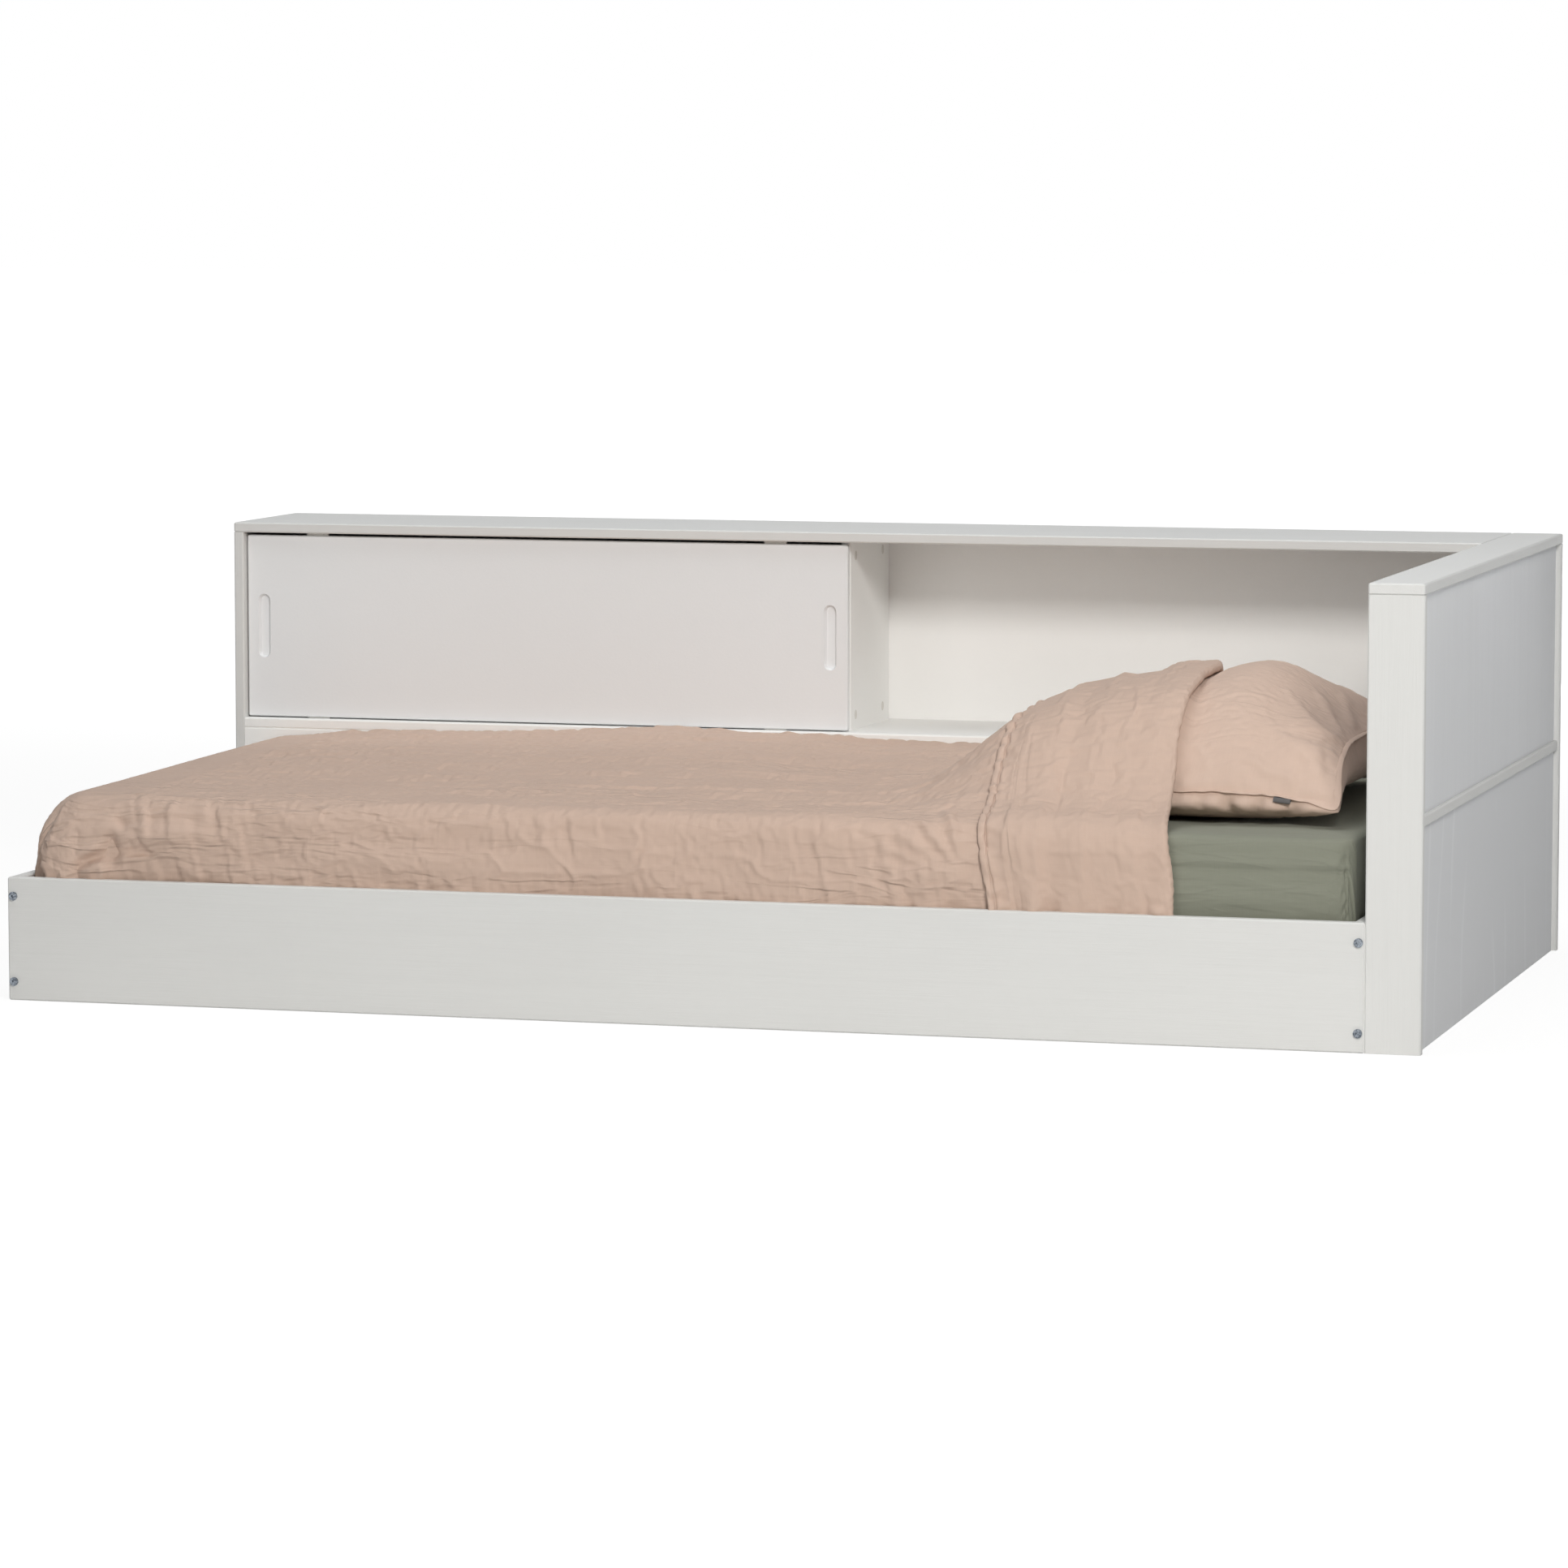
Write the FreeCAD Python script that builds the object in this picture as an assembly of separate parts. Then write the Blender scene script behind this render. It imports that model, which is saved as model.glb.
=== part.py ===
"""A made-up floor bed with a panelled headboard, and a storage case with a sliding door along its back.

Sizes are in millimetres. The origin is on the floor, in the middle of the footprint. +X points to the
headboard, +Y to the back of the storage case and +Z up. Every piece is a solid in a file of its own.
"""
import FreeCAD
import Part
import math
import os

Vector = FreeCAD.Vector
RIGHT = Vector(1, 0, 0)
BACK = Vector(0, 1, 0)
UP = Vector(0, 0, 1)

# Clear space for the mattress, and the boards of the base frame around it
space_length = 2010.0
space_width = 910.0
base_board = 18.0
base_height = 184.0
edge_ease = 2.0

# Bolts through the front rail into the end boards, with a hexagon socket in the head
bolt_head = 13.0
bolt_head_height = 3.0
bolt_shank = 6.0
bolt_length = 60.0
bolt_inset = 28.0
socket_width = 4.0
socket_depth = 2.0
socket_sides = 6
hole_clearance = 0.4
drill_point = 0.5

# Bolts from inside the base frame into the case and the headboard
connector_cover = 4.0
connector_height = 70.0
connector_along = 420.0
connector_across = 210.0

# Tongues that end short of a board's edge, and the grooves for them
tongue_thickness = 6.0
tongue_depth = 7.0
tongue_stop = 20.0
groove_clearance = 0.2

# Slats on ledgers, held apart by two webbing tapes
ledger_width = 22.0
ledger_height = 28.0
ledger_top = 130.0
ledger_end_gap = 1.0
slat_count = 14
slat_width = 70.0
slat_thickness = 16.0
slat_side_gap = 2.0
slat_end_gap = 22.0
tape_width = 25.0
tape_thickness = 1.0
tape_inset = 190.0

# Storage case
bed_height = 660.0
case_depth = 284.0
case_board = 16.0
shelf_top = 342.0
back_thickness = 4.0
back_inset = 11.0
back_toe = 8.0
groove_depth = 6.0

# Cam locks in the divider, each turned against the end of a bolt that is fixed in the next board
cam_diameter = 15.0
cam_depth = 12.5
cam_reach = 24.0
cam_front = 65.0
cam_rear = 40.0
cam_bolt = 7.0
cam_bolt_grip = 10.0

# Sliding door with two finger pulls, on glides in a groove of the shelf
door_recess = 14.0
door_thickness = 15.0
door_side_gap = 2.0
door_bottom_gap = 2.0
door_top_gap = 5.0
door_clear_of_divider = 5.0
pull_width = 20.5
pull_height = 104.0
pull_inset = 28.5
pull_depth = 7.0
pull_flare = 3.0
track_width = 6.0
track_depth = 6.0
glide_length = 36.0
glide_body_width = 9.0
glide_body_height = 12.0
glide_inset = 120.0
glide_clearance = 0.3

# Headboard: two uprights, a cap and a panel on each side of three hidden rails
head_depth = 80.0
head_board = 18.0
cap_thickness = 16.0
panel_recess = 8.0
panel_thickness = 9.0
batten_height = 16.0
batten_low = 318.5
batten_recess = 2.0
top_rail_height = 45.0
middle_rail_height = 45.0
bottom_rail_height = 150.0
tenon_thickness = 16.0
tenon_length = 11.0
tenon_shoulder = 8.0

# Mattress and fitted sheet
mattress_height = 150.0
mattress_front_gap = 15.0
mattress_rear_gap = 15.0
mattress_foot_gap = 24.0
mattress_head_gap = 6.0
mattress_corner = 35.0
mattress_edge = 18.0
mattress_edge_steps = 4
soft_gap = 0.3
sheet_thickness = 1.2
sheet_hem = 10.0

# Pillow: a seam all round, lower on the side that lies under the duvet and at the corners
pillow_length = 700.0
pillow_width = 600.0
pillow_height = 206.0
pillow_head_gap = 44.0
pillow_shift_back = 27.0
pillow_peak = 165.0
pillow_left_seam = 16.0
pillow_right_seam = 115.0
pillow_crown_left = 2.0
pillow_crown_right = 26.0
pillow_belly_right = 58.0
pillow_belly_left = 8.0
pillow_end_seam = 38.0
pillow_end_thickness = 8.0
pillow_end_run = 160.0
pillow_end_height = 148.0
pillow_end_bow = 12.0
pillow_end_belly = 70.0
pillow_draw_in = 13.0

# Duvet: lies over the mattress, hangs inside the rail and the foot board, and is turned back over the pillow
duvet_loft = 26.0
duvet_pressed = 12.0
flap_loft = 8.0
flap_width = 270.0
fold_from_peak = 72.0
fold_roll = 12.0
fold_layers = 0.5
hem_step = 2.0
drop_thickness = 9.0
foot_drop_thickness = 14.0
drop_tuck = 12.0
crest_loft = 12.0
crest_run = 38.0
crest_fall = 42.0
crest_bulge = 11.0
foot_round = 40.0
corner_round = 25.0
inner_round = 12.0
inner_bow = 3.0
rear_gap = 1.0
hump_lead = 80.0
hump_level = 25.0
hump_dip = 12.0
slope_run = 115.0
rear_slope_run = 110.0
slope_drop = 36.0
rear_slope_drop = 50.0
crown_on_flat = 3.0
crown_on_pillow = 40.0
rear_crown = 8.0
slope_lean = 8.0
wave_height = 12.0
wave_length = 1500.0
wave_start = 470.0
fold_depth = 3.0
fold_pitch = 330.0
edge_stations = 4
flat_stations = 14
hump_stations = 9
straight_within = 0.01

# Main planes
base_length = space_length + 2 * base_board
base_width = space_width + 2 * base_board
overall_length = base_length + head_depth
overall_depth = bolt_head_height + base_width + case_depth
x_foot = -overall_length / 2
x_head = x_foot + base_length
x_end = x_head + head_depth
y_front = -overall_depth / 2 + bolt_head_height
y_case = y_front + base_width
y_back = y_case + case_depth
y_panel = y_back - back_inset - back_thickness
x_case_left = x_foot + case_board
x_case_right = x_head - case_board
x_case_middle = (x_foot + x_head) / 2
z_case_top = bed_height - case_board
z_shelf = shelf_top - case_board
slat_top = ledger_top + slat_thickness


def block(x, y, z):
    """A box between pairs of limits along X, Y and Z."""
    size = [high - low for low, high in (x, y, z)]
    return Part.makeBox(*size, Vector(x[0], y[0], z[0]))


def runs_along(edge, axes):
    """Whether a straight edge is parallel to one of the named axes."""
    along = edge.lastVertex().Point - edge.firstVertex().Point
    lengths = dict(zip("XYZ", (abs(along.x), abs(along.y), abs(along.z))))
    return max(lengths, key=lengths.get) in axes


def board(x, y, z, eased):
    """A board with eased edges along the named axes."""
    shape = block(x, y, z)
    return shape.makeChamfer(edge_ease, [edge for edge in shape.Edges if runs_along(edge, eased)])


def rod(start, direction, diameter, length):
    """A round bar from a point."""
    return Part.makeCylinder(diameter / 2, length, start, direction)


def cut_all(shape, tools):
    """A shape less all tools at once."""
    return shape.cut(Part.makeCompound(tools))


def spread(low, high, count):
    """Evenly spaced values that include both ends."""
    return [low + (high - low) * i / (count - 1) for i in range(count)]


def centred(middle, width):
    """Limits on both sides of a middle."""
    return middle - width / 2, middle + width / 2


def join(pieces, owner, other, limits):
    """Gives the owner a tongue between the limits, and the other piece a groove a clearance larger."""
    room = [(low - groove_clearance, high + groove_clearance) for low, high in limits]
    pieces[owner] = pieces[owner].fuse(block(*limits))
    pieces[other] = pieces[other].cut(block(*room))


def bolt(seat, direction, length):
    """A bolt with a hexagon socket. Its head stands on the seat and its shank points along the direction."""
    head = rod(seat, direction * -1, bolt_head, bolt_head_height)
    spoke = UP * (socket_width / math.sqrt(3))
    turns = [FreeCAD.Rotation(direction, 360.0 * i / socket_sides) for i in range(socket_sides + 1)]
    corners = [seat - direction * bolt_head_height + turn.multVec(spoke) for turn in turns]
    socket = Part.Face(Part.makePolygon(corners)).extrude(direction * socket_depth)
    return head.fuse(rod(seat, direction, bolt_shank, length)).cut(socket)


def corner_bolts():
    """Bolts through the front rail into the end boards, and their holes."""
    bolts = []
    holes = []
    for x in (x_foot + base_board / 2, x_head - base_board / 2):
        for z in (bolt_inset, base_height - bolt_inset):
            seat = Vector(x, y_front, z)
            bolts.append(bolt(seat, BACK, bolt_length))
            holes.append(rod(seat, BACK, bolt_shank + hole_clearance, bolt_length + drill_point))
    return bolts, holes


def connectors():
    """Bolts from inside the base frame, two into the case and two into the headboard, and their holes."""
    length = base_board + case_board - connector_cover
    y_middle = (y_front + y_case) / 2
    places = []
    for side in (-1, 1):
        along = Vector(x_case_middle + side * connector_along, y_case - base_board, connector_height)
        across = Vector(x_head - base_board, y_middle + side * connector_across, connector_height)
        places += [(along, BACK), (across, RIGHT)]
    bolts = [bolt(seat, direction, length) for seat, direction in places]
    hole = bolt_shank + hole_clearance
    holes = [rod(seat, direction, hole, length + drill_point) for seat, direction in places]
    return bolts, holes


def base_frame(link_bolts, link_holes):
    """Two rails and two end boards joined into a box, with a ledger on each rail."""
    bolts, holes = corner_bolts()
    y_rails = {"front": (y_front, y_front + base_board), "rear": (y_case - base_board, y_case)}
    y_ledgers = {"front": y_rails["front"][1], "rear": y_rails["rear"][0] - ledger_width}
    x_ends = {"foot_board": (x_foot, x_foot + base_board), "head_end_board": (x_head - base_board, x_head)}
    x_ledger = (x_foot + base_board + ledger_end_gap, x_head - base_board - ledger_end_gap)
    z_ledger = (ledger_top - ledger_height, ledger_top)
    z_base = (0, base_height)
    pieces = {}
    for side, y in y_rails.items():
        rail = board((x_foot, x_head), y, z_base, "XYZ")
        y_ledger = (y_ledgers[side], y_ledgers[side] + ledger_width)
        pieces[f"{side}_rail"] = cut_all(rail, holes + link_holes)
        pieces[f"{side}_ledger"] = board(x_ledger, y_ledger, z_ledger, "X")
    y_joint = y_rails["rear"][0]
    for name, x in x_ends.items():
        end = board(x, (y_rails["front"][1], y_joint), z_base, "Y")
        pieces[name] = cut_all(end, holes + link_holes)
        x_tongue = centred(sum(x) / 2, tongue_thickness)
        z_tongue = (tongue_stop, base_height - tongue_stop)
        join(pieces, name, "rear_rail", (x_tongue, (y_joint, y_joint + tongue_depth), z_tongue))
    pieces["corner_bolts"] = Part.makeCompound(bolts)
    pieces["connector_bolts"] = Part.makeCompound(link_bolts)
    return pieces


def slat_bed():
    """Slats across the ledgers, and the two tapes that keep them apart."""
    pieces = {}
    y_slat = (y_front + base_board + slat_side_gap, y_case - base_board - slat_side_gap)
    first = x_foot + base_board + slat_end_gap
    last = x_head - base_board - slat_end_gap - slat_width
    for i, x in enumerate(spread(first, last, slat_count)):
        pieces[f"slat_{i + 1:02d}"] = board((x, x + slat_width), y_slat, (ledger_top, slat_top), "Y")
    z_tape = (slat_top, slat_top + tape_thickness)
    tapes = []
    for y in (y_slat[0] + tape_inset, y_slat[1] - tape_inset - tape_width):
        tapes.append(block((first, last + slat_width), (y, y + tape_width), z_tape))
    pieces["slat_tapes"] = Part.makeCompound(tapes)
    return pieces


def cam_joint(face, inward, towards):
    """A cam lock in a board's face, the bolt whose end lies in its slot, and the holes for both.

    The cam's axis goes inward from the face. The other board begins at the cam's reach, the way of towards.
    """
    core = face + inward * (case_board / 2)
    width = cam_bolt + hole_clearance
    pin = rod(core, towards, cam_bolt, cam_reach + cam_bolt_grip)
    bore = rod(core, towards, width, cam_reach + cam_bolt_grip + drill_point)
    side = (inward + inward.cross(towards)) * (width / 2)
    near = core - side - towards * drill_point
    far = core + side + towards * cam_diameter
    slot = block(*[sorted(pair) for pair in zip(near, far)])
    cam = rod(face, inward, cam_diameter, cam_depth).cut(slot)
    pocket = rod(face, inward, cam_diameter + hole_clearance, cam_depth + drill_point)
    return cam, pin, pocket, bore


def divider_cams():
    """The cam locks that hold the divider to the top board and to the shelf."""
    face = x_case_middle + case_board / 2
    cams = []
    for y in (y_case + cam_front, y_panel - cam_rear):
        cams.append(cam_joint(Vector(face, y, z_case_top - cam_reach), RIGHT * -1, UP))
        cams.append(cam_joint(Vector(face, y, shelf_top + cam_reach), RIGHT * -1, UP * -1))
    return cams


def storage_case(link_holes):
    """The case along the back: top, ends, shelf, divider, support, front panel and two backs in grooves."""
    cams = divider_cams()
    x_inner = (x_case_left, x_case_right)
    x_divider = centred(x_case_middle, case_board)
    x_groove = (x_case_left - groove_depth, x_case_right + groove_depth)
    y_depth = (y_case, y_back)
    y_inner = (y_case, y_panel)
    y_lower_panel = (y_case, y_case + case_board)
    y_divider = (y_case + door_recess + door_thickness + door_clear_of_divider, y_panel)
    y_track = centred(y_case + door_recess + door_thickness / 2, track_width)
    y_backs = (y_panel, y_panel + back_thickness)
    y_groove = (y_backs[0] - groove_clearance, y_backs[1] + groove_clearance)
    pieces = {
        "case_top": board((x_foot, x_head), y_depth, (z_case_top, bed_height), "XYZ"),
        "case_left_end": board((x_foot, x_case_left), y_depth, (0, z_case_top), "Z"),
        "case_right_end": board((x_case_right, x_head), y_depth, (0, z_case_top), "Z"),
        "case_shelf": board(x_inner, y_inner, (z_shelf, shelf_top), "X"),
        "case_divider": board(x_divider, y_divider, (shelf_top, z_case_top), "Z"),
        "case_support": board(x_divider, (y_lower_panel[1], y_panel), (0, z_shelf), "Z"),
        "case_front_panel": board(x_inner, y_lower_panel, (0, z_shelf), "X"),
    }

    y_tongue = (y_case + tongue_stop, y_panel - tongue_stop)
    z_tongue = (tongue_stop, z_shelf - tongue_stop)
    y_panel_tongue = centred(sum(y_lower_panel) / 2, tongue_thickness)
    z_shelf_tongue = centred(z_shelf + case_board / 2, tongue_thickness)
    for end, x, outward in (("case_left_end", x_case_left, -1), ("case_right_end", x_case_right, 1)):
        x_tongue = sorted((x, x + outward * tongue_depth))
        x_end_tongue = centred(x + outward * case_board / 2, tongue_thickness)
        join(pieces, "case_shelf", end, (x_tongue, y_tongue, z_shelf_tongue))
        join(pieces, "case_front_panel", end, (x_tongue, y_panel_tongue, z_tongue))
        join(pieces, end, "case_top", (x_end_tongue, y_tongue, (z_case_top, z_case_top + tongue_depth)))
    y_support_tongue = (y_lower_panel[1] - tongue_depth, y_lower_panel[1])
    x_support_tongue = centred(x_case_middle, tongue_thickness)
    join(pieces, "case_support", "case_front_panel", (x_support_tongue, y_support_tongue, z_tongue))

    tools = [pocket for _, _, pocket, _ in cams] + [bore for _, _, _, bore in cams] + link_holes
    tools.append(block(x_inner, y_track, (shelf_top - track_depth, shelf_top)))
    tools.append(block(x_inner, y_track, (z_case_top, z_case_top + track_depth)))
    tools.append(block(x_groove, y_groove, (0, z_case_top + groove_depth)))
    for name in pieces:
        pieces[name] = cut_all(pieces[name], tools)
    z_back = (back_toe, z_case_top + groove_depth - groove_clearance)
    seam = groove_clearance / 2
    pieces["case_back_left"] = block((x_groove[0] + groove_clearance, x_case_middle - seam), y_backs, z_back)
    pieces["case_back_right"] = block((x_case_middle + seam, x_groove[1] - groove_clearance), y_backs, z_back)
    pieces["cam_locks"] = Part.makeCompound([cam for cam, _, _, _ in cams])
    pieces["cam_bolts"] = Part.makeCompound([pin for _, pin, _, _ in cams])
    return pieces


def oblong(x, y, z, width, height):
    """A closed outline with straight sides and half-round ends, in the plane of the door's face."""
    half = width / 2
    straight = (height - width) / 2
    left = (Vector(x - half, y, z - straight), Vector(x - half, y, z + straight))
    right = (Vector(x + half, y, z + straight), Vector(x + half, y, z - straight))
    upper = Part.Arc(left[1], Vector(x, y, z + straight + half), right[0])
    lower = Part.Arc(right[1], Vector(x, y, z - straight - half), left[0])
    sides = [Part.LineSegment(*left), Part.LineSegment(*right)]
    return Part.Wire([curve.toShape() for curve in (sides[0], upper, sides[1], lower)])


def glide(x, y, z, direction, gap):
    """A plastic glide in the door's edge at z: a body in its pocket, and a tongue in the track."""
    body_half = glide_body_width / 2 - glide_clearance
    tongue_half = track_width / 2 - glide_clearance
    x_limits = (x - glide_length / 2, x + glide_length / 2)
    tongue_end = z + direction * (gap + track_depth - glide_clearance)
    body_end = z - direction * glide_body_height
    body = block(x_limits, (y - body_half, y + body_half), sorted((z, body_end)))
    tongue = block(x_limits, (y - tongue_half, y + tongue_half), sorted((z, tongue_end)))
    return body.fuse(tongue).removeSplitter()


def sliding_door():
    """The door, closed in front of the left compartment, with its finger pulls, glides and guides."""
    x_door = (x_case_left + door_side_gap, x_case_middle + case_board / 2)
    y_door = (y_case + door_recess, y_case + door_recess + door_thickness)
    z_door = (shelf_top + door_bottom_gap, z_case_top - door_top_gap)
    door = board(x_door, y_door, z_door, "XYZ")
    z_pull = (z_door[0] + z_door[1]) / 2
    tools = []
    for x in (x_door[0] + pull_inset, x_door[1] - pull_inset):
        mouth = oblong(x, y_door[0], z_pull, pull_width, pull_height)
        floor_size = (pull_width - 2 * pull_flare, pull_height - 2 * pull_flare)
        floor = oblong(x, y_door[0] + pull_depth, z_pull, *floor_size)
        tools.append(Part.makeLoft([mouth, floor], True, True))
    y_middle = sum(y_door) / 2
    y_pocket = (y_middle - glide_body_width / 2, y_middle + glide_body_width / 2)
    glides = []
    guides = []
    for x in (x_door[0] + glide_inset, x_door[1] - glide_inset):
        glides.append(glide(x, y_middle, z_door[0], -1, door_bottom_gap))
        guides.append(glide(x, y_middle, z_door[1], 1, door_top_gap))
        x_pocket = (x - glide_length / 2 - glide_clearance, x + glide_length / 2 + glide_clearance)
        deep = glide_body_height + glide_clearance
        tools.append(block(x_pocket, y_pocket, (z_door[0], z_door[0] + deep)))
        tools.append(block(x_pocket, y_pocket, (z_door[1] - deep, z_door[1])))
    return {
        "door": cut_all(door, tools),
        "door_glides": Part.makeCompound(glides),
        "door_guides": Part.makeCompound(guides),
    }


def headboard(link_holes):
    """Uprights and cap around three rails, with a panel above and below a batten on both faces."""
    z_cap = bed_height - cap_thickness
    y_front_upright = (y_front, y_front + head_board)
    y_rear_upright = (y_back - head_board, y_back)
    y_between = (y_front_upright[1], y_rear_upright[0])
    skin = panel_recess + panel_thickness
    x_all = (x_head, x_end)
    x_core = (x_head + skin, x_end - skin)
    x_middle = sum(x_core) / 2
    batten_top = batten_low + batten_height
    z_middle_rail = centred((batten_low + batten_top) / 2, middle_rail_height)
    rails = {
        "head_top_rail": (x_core, (z_cap - top_rail_height, z_cap)),
        "head_middle_rail": (x_core, z_middle_rail),
        "head_bottom_rail": ((x_head, x_core[1]), (0, bottom_rail_height)),
    }
    pieces = {
        "head_front_upright": board(x_all, y_front_upright, (0, z_cap), "Z"),
        "head_rear_upright": board(x_all, y_rear_upright, (0, z_cap), "Z"),
        "head_cap": board(x_all, (y_front, y_back), (z_cap, bed_height), "XYZ"),
    }
    x_tenon = centred(x_middle, tenon_thickness)
    for name, (x, z) in rails.items():
        z_tenon = (z[0] + tenon_shoulder, z[1] - tenon_shoulder)
        pieces[name] = cut_all(block(x, y_between, z), link_holes)
        y_front_tenon = (y_between[0] - tenon_length, y_between[0])
        y_rear_tenon = (y_between[1], y_between[1] + tenon_length)
        join(pieces, name, "head_front_upright", (x_tenon, y_front_tenon, z_tenon))
        join(pieces, name, "head_rear_upright", (x_tenon, y_rear_tenon, z_tenon))
    y_tongue = (y_between[0] + tongue_stop, y_between[1] - tongue_stop)
    x_tongue = centred(x_middle, tongue_thickness)
    join(pieces, "head_top_rail", "head_cap", (x_tongue, y_tongue, (z_cap, z_cap + tongue_depth)))

    x_outer_panel, x_outer_batten = [(x_core[1], x_end - recess) for recess in (panel_recess, batten_recess)]
    x_inner_panel, x_inner_batten = [(x_head + recess, x_core[0]) for recess in (panel_recess, batten_recess)]
    faces = {
        "outer": (x_outer_panel, x_outer_batten, 0),
        "inner": (x_inner_panel, x_inner_batten, bottom_rail_height),
    }
    for side, (x_panel, x_batten, z_foot) in faces.items():
        pieces[f"{side}_upper_panel"] = block(x_panel, y_between, (batten_top, z_cap))
        pieces[f"{side}_lower_panel"] = block(x_panel, y_between, (z_foot, batten_low))
        pieces[f"{side}_batten"] = board(x_batten, y_between, (batten_low, batten_top), "Y")
    return pieces


def bulged_wire(points, place):
    """A closed outline through (u, v, bulge) points. An edge bows to the left of its way by its bulge."""
    edges = []
    for (u, v, bulge), (u_next, v_next, _) in zip(points, points[1:] + points[:1]):
        start = place(u, v)
        end = place(u_next, v_next)
        if abs(bulge) > straight_within:
            length = math.hypot(u_next - u, v_next - v)
            u_side = -(v_next - v) / length * bulge
            v_side = (u_next - u) / length * bulge
            middle = place((u + u_next) / 2 + u_side, (v + v_next) / 2 + v_side)
            edges.append(Part.Arc(start, middle, end).toShape())
        else:
            edges.append(Part.LineSegment(start, end).toShape())
    return Part.Wire(edges)


# Bedding planes, each a soft gap away from what lies under it
x_mattress = (x_foot + base_board + mattress_foot_gap, x_head - base_board - mattress_head_gap)
y_mattress = (y_front + base_board + mattress_front_gap, y_case - base_board - mattress_rear_gap)
z_mattress = (slat_top + tape_thickness + soft_gap, slat_top + tape_thickness + soft_gap + mattress_height)
sheet_skin = soft_gap + sheet_thickness
z_sheet = z_mattress[1] + sheet_skin
z_under = z_sheet + soft_gap
y_under = y_mattress[0] - sheet_skin - soft_gap
x_under = x_mattress[0] - sheet_skin - soft_gap
y_drop = y_under - drop_thickness
x_drop = x_under - foot_drop_thickness
z_drop = base_height - drop_tuck
y_rear = y_case - rear_gap
x_pillow = (x_mattress[1] - pillow_head_gap - pillow_width, x_mattress[1] - pillow_head_gap)
y_pillow_middle = sum(y_mattress) / 2 + pillow_shift_back
y_pillow = (y_pillow_middle - pillow_length / 2, y_pillow_middle + pillow_length / 2)
x_peak = x_pillow[1] - pillow_peak
x_fold = x_peak - fold_from_peak
x_hem = x_fold - flap_width
x_hump = x_pillow[0] - hump_lead


def rounded_outline(x, y, z, radius):
    """A level rectangle with rounded corners."""
    bow = radius * (1 - math.sqrt(0.5))
    points = [
        (x[0], y[0] + radius, 0), (x[0], y[1] - radius, bow),
        (x[0] + radius, y[1], 0), (x[1] - radius, y[1], bow),
        (x[1], y[1] - radius, 0), (x[1], y[0] + radius, bow),
        (x[1] - radius, y[0], 0), (x[0] + radius, y[0], bow),
    ]
    return bulged_wire(points, lambda u, v: Vector(u, v, z))


def mattress_form(grow):
    """The mattress block with rounded corners and a rounded upper edge, grown evenly on all sides."""
    rim = mattress_edge + grow
    levels = [(-grow, z_mattress[0] - grow)]
    for turn in spread(0.0, math.pi / 2, mattress_edge_steps):
        z_level = z_mattress[1] - mattress_edge + rim * math.sin(turn)
        levels.append((mattress_edge - rim * math.cos(turn), z_level))
    outlines = []
    for inset, z in levels:
        x, y = [(low + inset, high - inset) for low, high in (x_mattress, y_mattress)]
        outlines.append(rounded_outline(x, y, z, mattress_corner - inset))
    return Part.makeLoft(outlines, True, True)


def fitted_sheet():
    """A skin over the top and sides of the mattress, open underneath."""
    skin = mattress_form(sheet_skin).cut(mattress_form(soft_gap))
    away = [(low - mattress_edge, high + mattress_edge) for low, high in (x_mattress, y_mattress)]
    return skin.cut(block(*away, (0, z_mattress[0] + sheet_hem)))


def pillow():
    """The pillow: the common part of its outlines from the side, from the end and from above."""
    from_side = [
        (x_pillow[0], z_under + pillow_left_seam, pillow_crown_left),
        (x_peak, z_under + pillow_height, pillow_crown_right),
        (x_pillow[1], z_under + pillow_right_seam, pillow_belly_right),
        (x_peak, z_under, pillow_belly_left),
    ]
    z_seam = z_under + pillow_end_seam
    z_shoulder = z_under + pillow_end_height
    from_end = [
        (y_pillow[0], z_seam, 0),
        (y_pillow[0], z_seam + pillow_end_thickness, pillow_end_bow),
        (y_pillow[0] + pillow_end_run, z_shoulder, pillow_height - pillow_end_height),
        (y_pillow[1] - pillow_end_run, z_shoulder, pillow_end_bow),
        (y_pillow[1], z_seam + pillow_end_thickness, 0),
        (y_pillow[1], z_seam, pillow_end_belly),
    ]
    from_above = [
        (x_pillow[0], y_pillow[0], -pillow_draw_in),
        (x_pillow[0], y_pillow[1], -pillow_draw_in),
        (x_pillow[1], y_pillow[1], -pillow_draw_in),
        (x_pillow[1], y_pillow[0], -pillow_draw_in),
    ]
    side = bulged_wire(from_side, lambda u, v: Vector(u, y_pillow[0], v))
    end = bulged_wire(from_end, lambda u, v: Vector(x_pillow[0], u, v))
    plan = bulged_wire(from_above, lambda u, v: Vector(u, v, z_under))
    form = Part.Face(side).extrude(BACK * pillow_length)
    form = form.common(Part.Face(end).extrude(RIGHT * pillow_width))
    return form.common(Part.Face(plan).extrude(UP * pillow_height))


def rounding(radius, distance):
    """How far a round edge lies below its flat, at a distance from its side."""
    inside = max(0.0, radius - distance)
    return radius - math.sqrt(radius ** 2 - inside ** 2)


def hump(x):
    """Share of the duvet's full rise over the pillow: 0 before the pillow, 1 near the fold."""
    share = (x - x_hump) / (x_fold - hump_level - x_hump)
    return math.sin(math.pi / 2 * min(1.0, max(0.0, share)))


def duvet_heights(x):
    """Heights of the duvet's underside where the front slope and the rear slope meet its top."""
    rise = pillow_height - hump_dip - crown_on_pillow / 2
    lift = hump(x)
    return z_under + lift * (rise - slope_drop / 2), z_under + lift * (rise - rear_slope_drop / 2)


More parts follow.
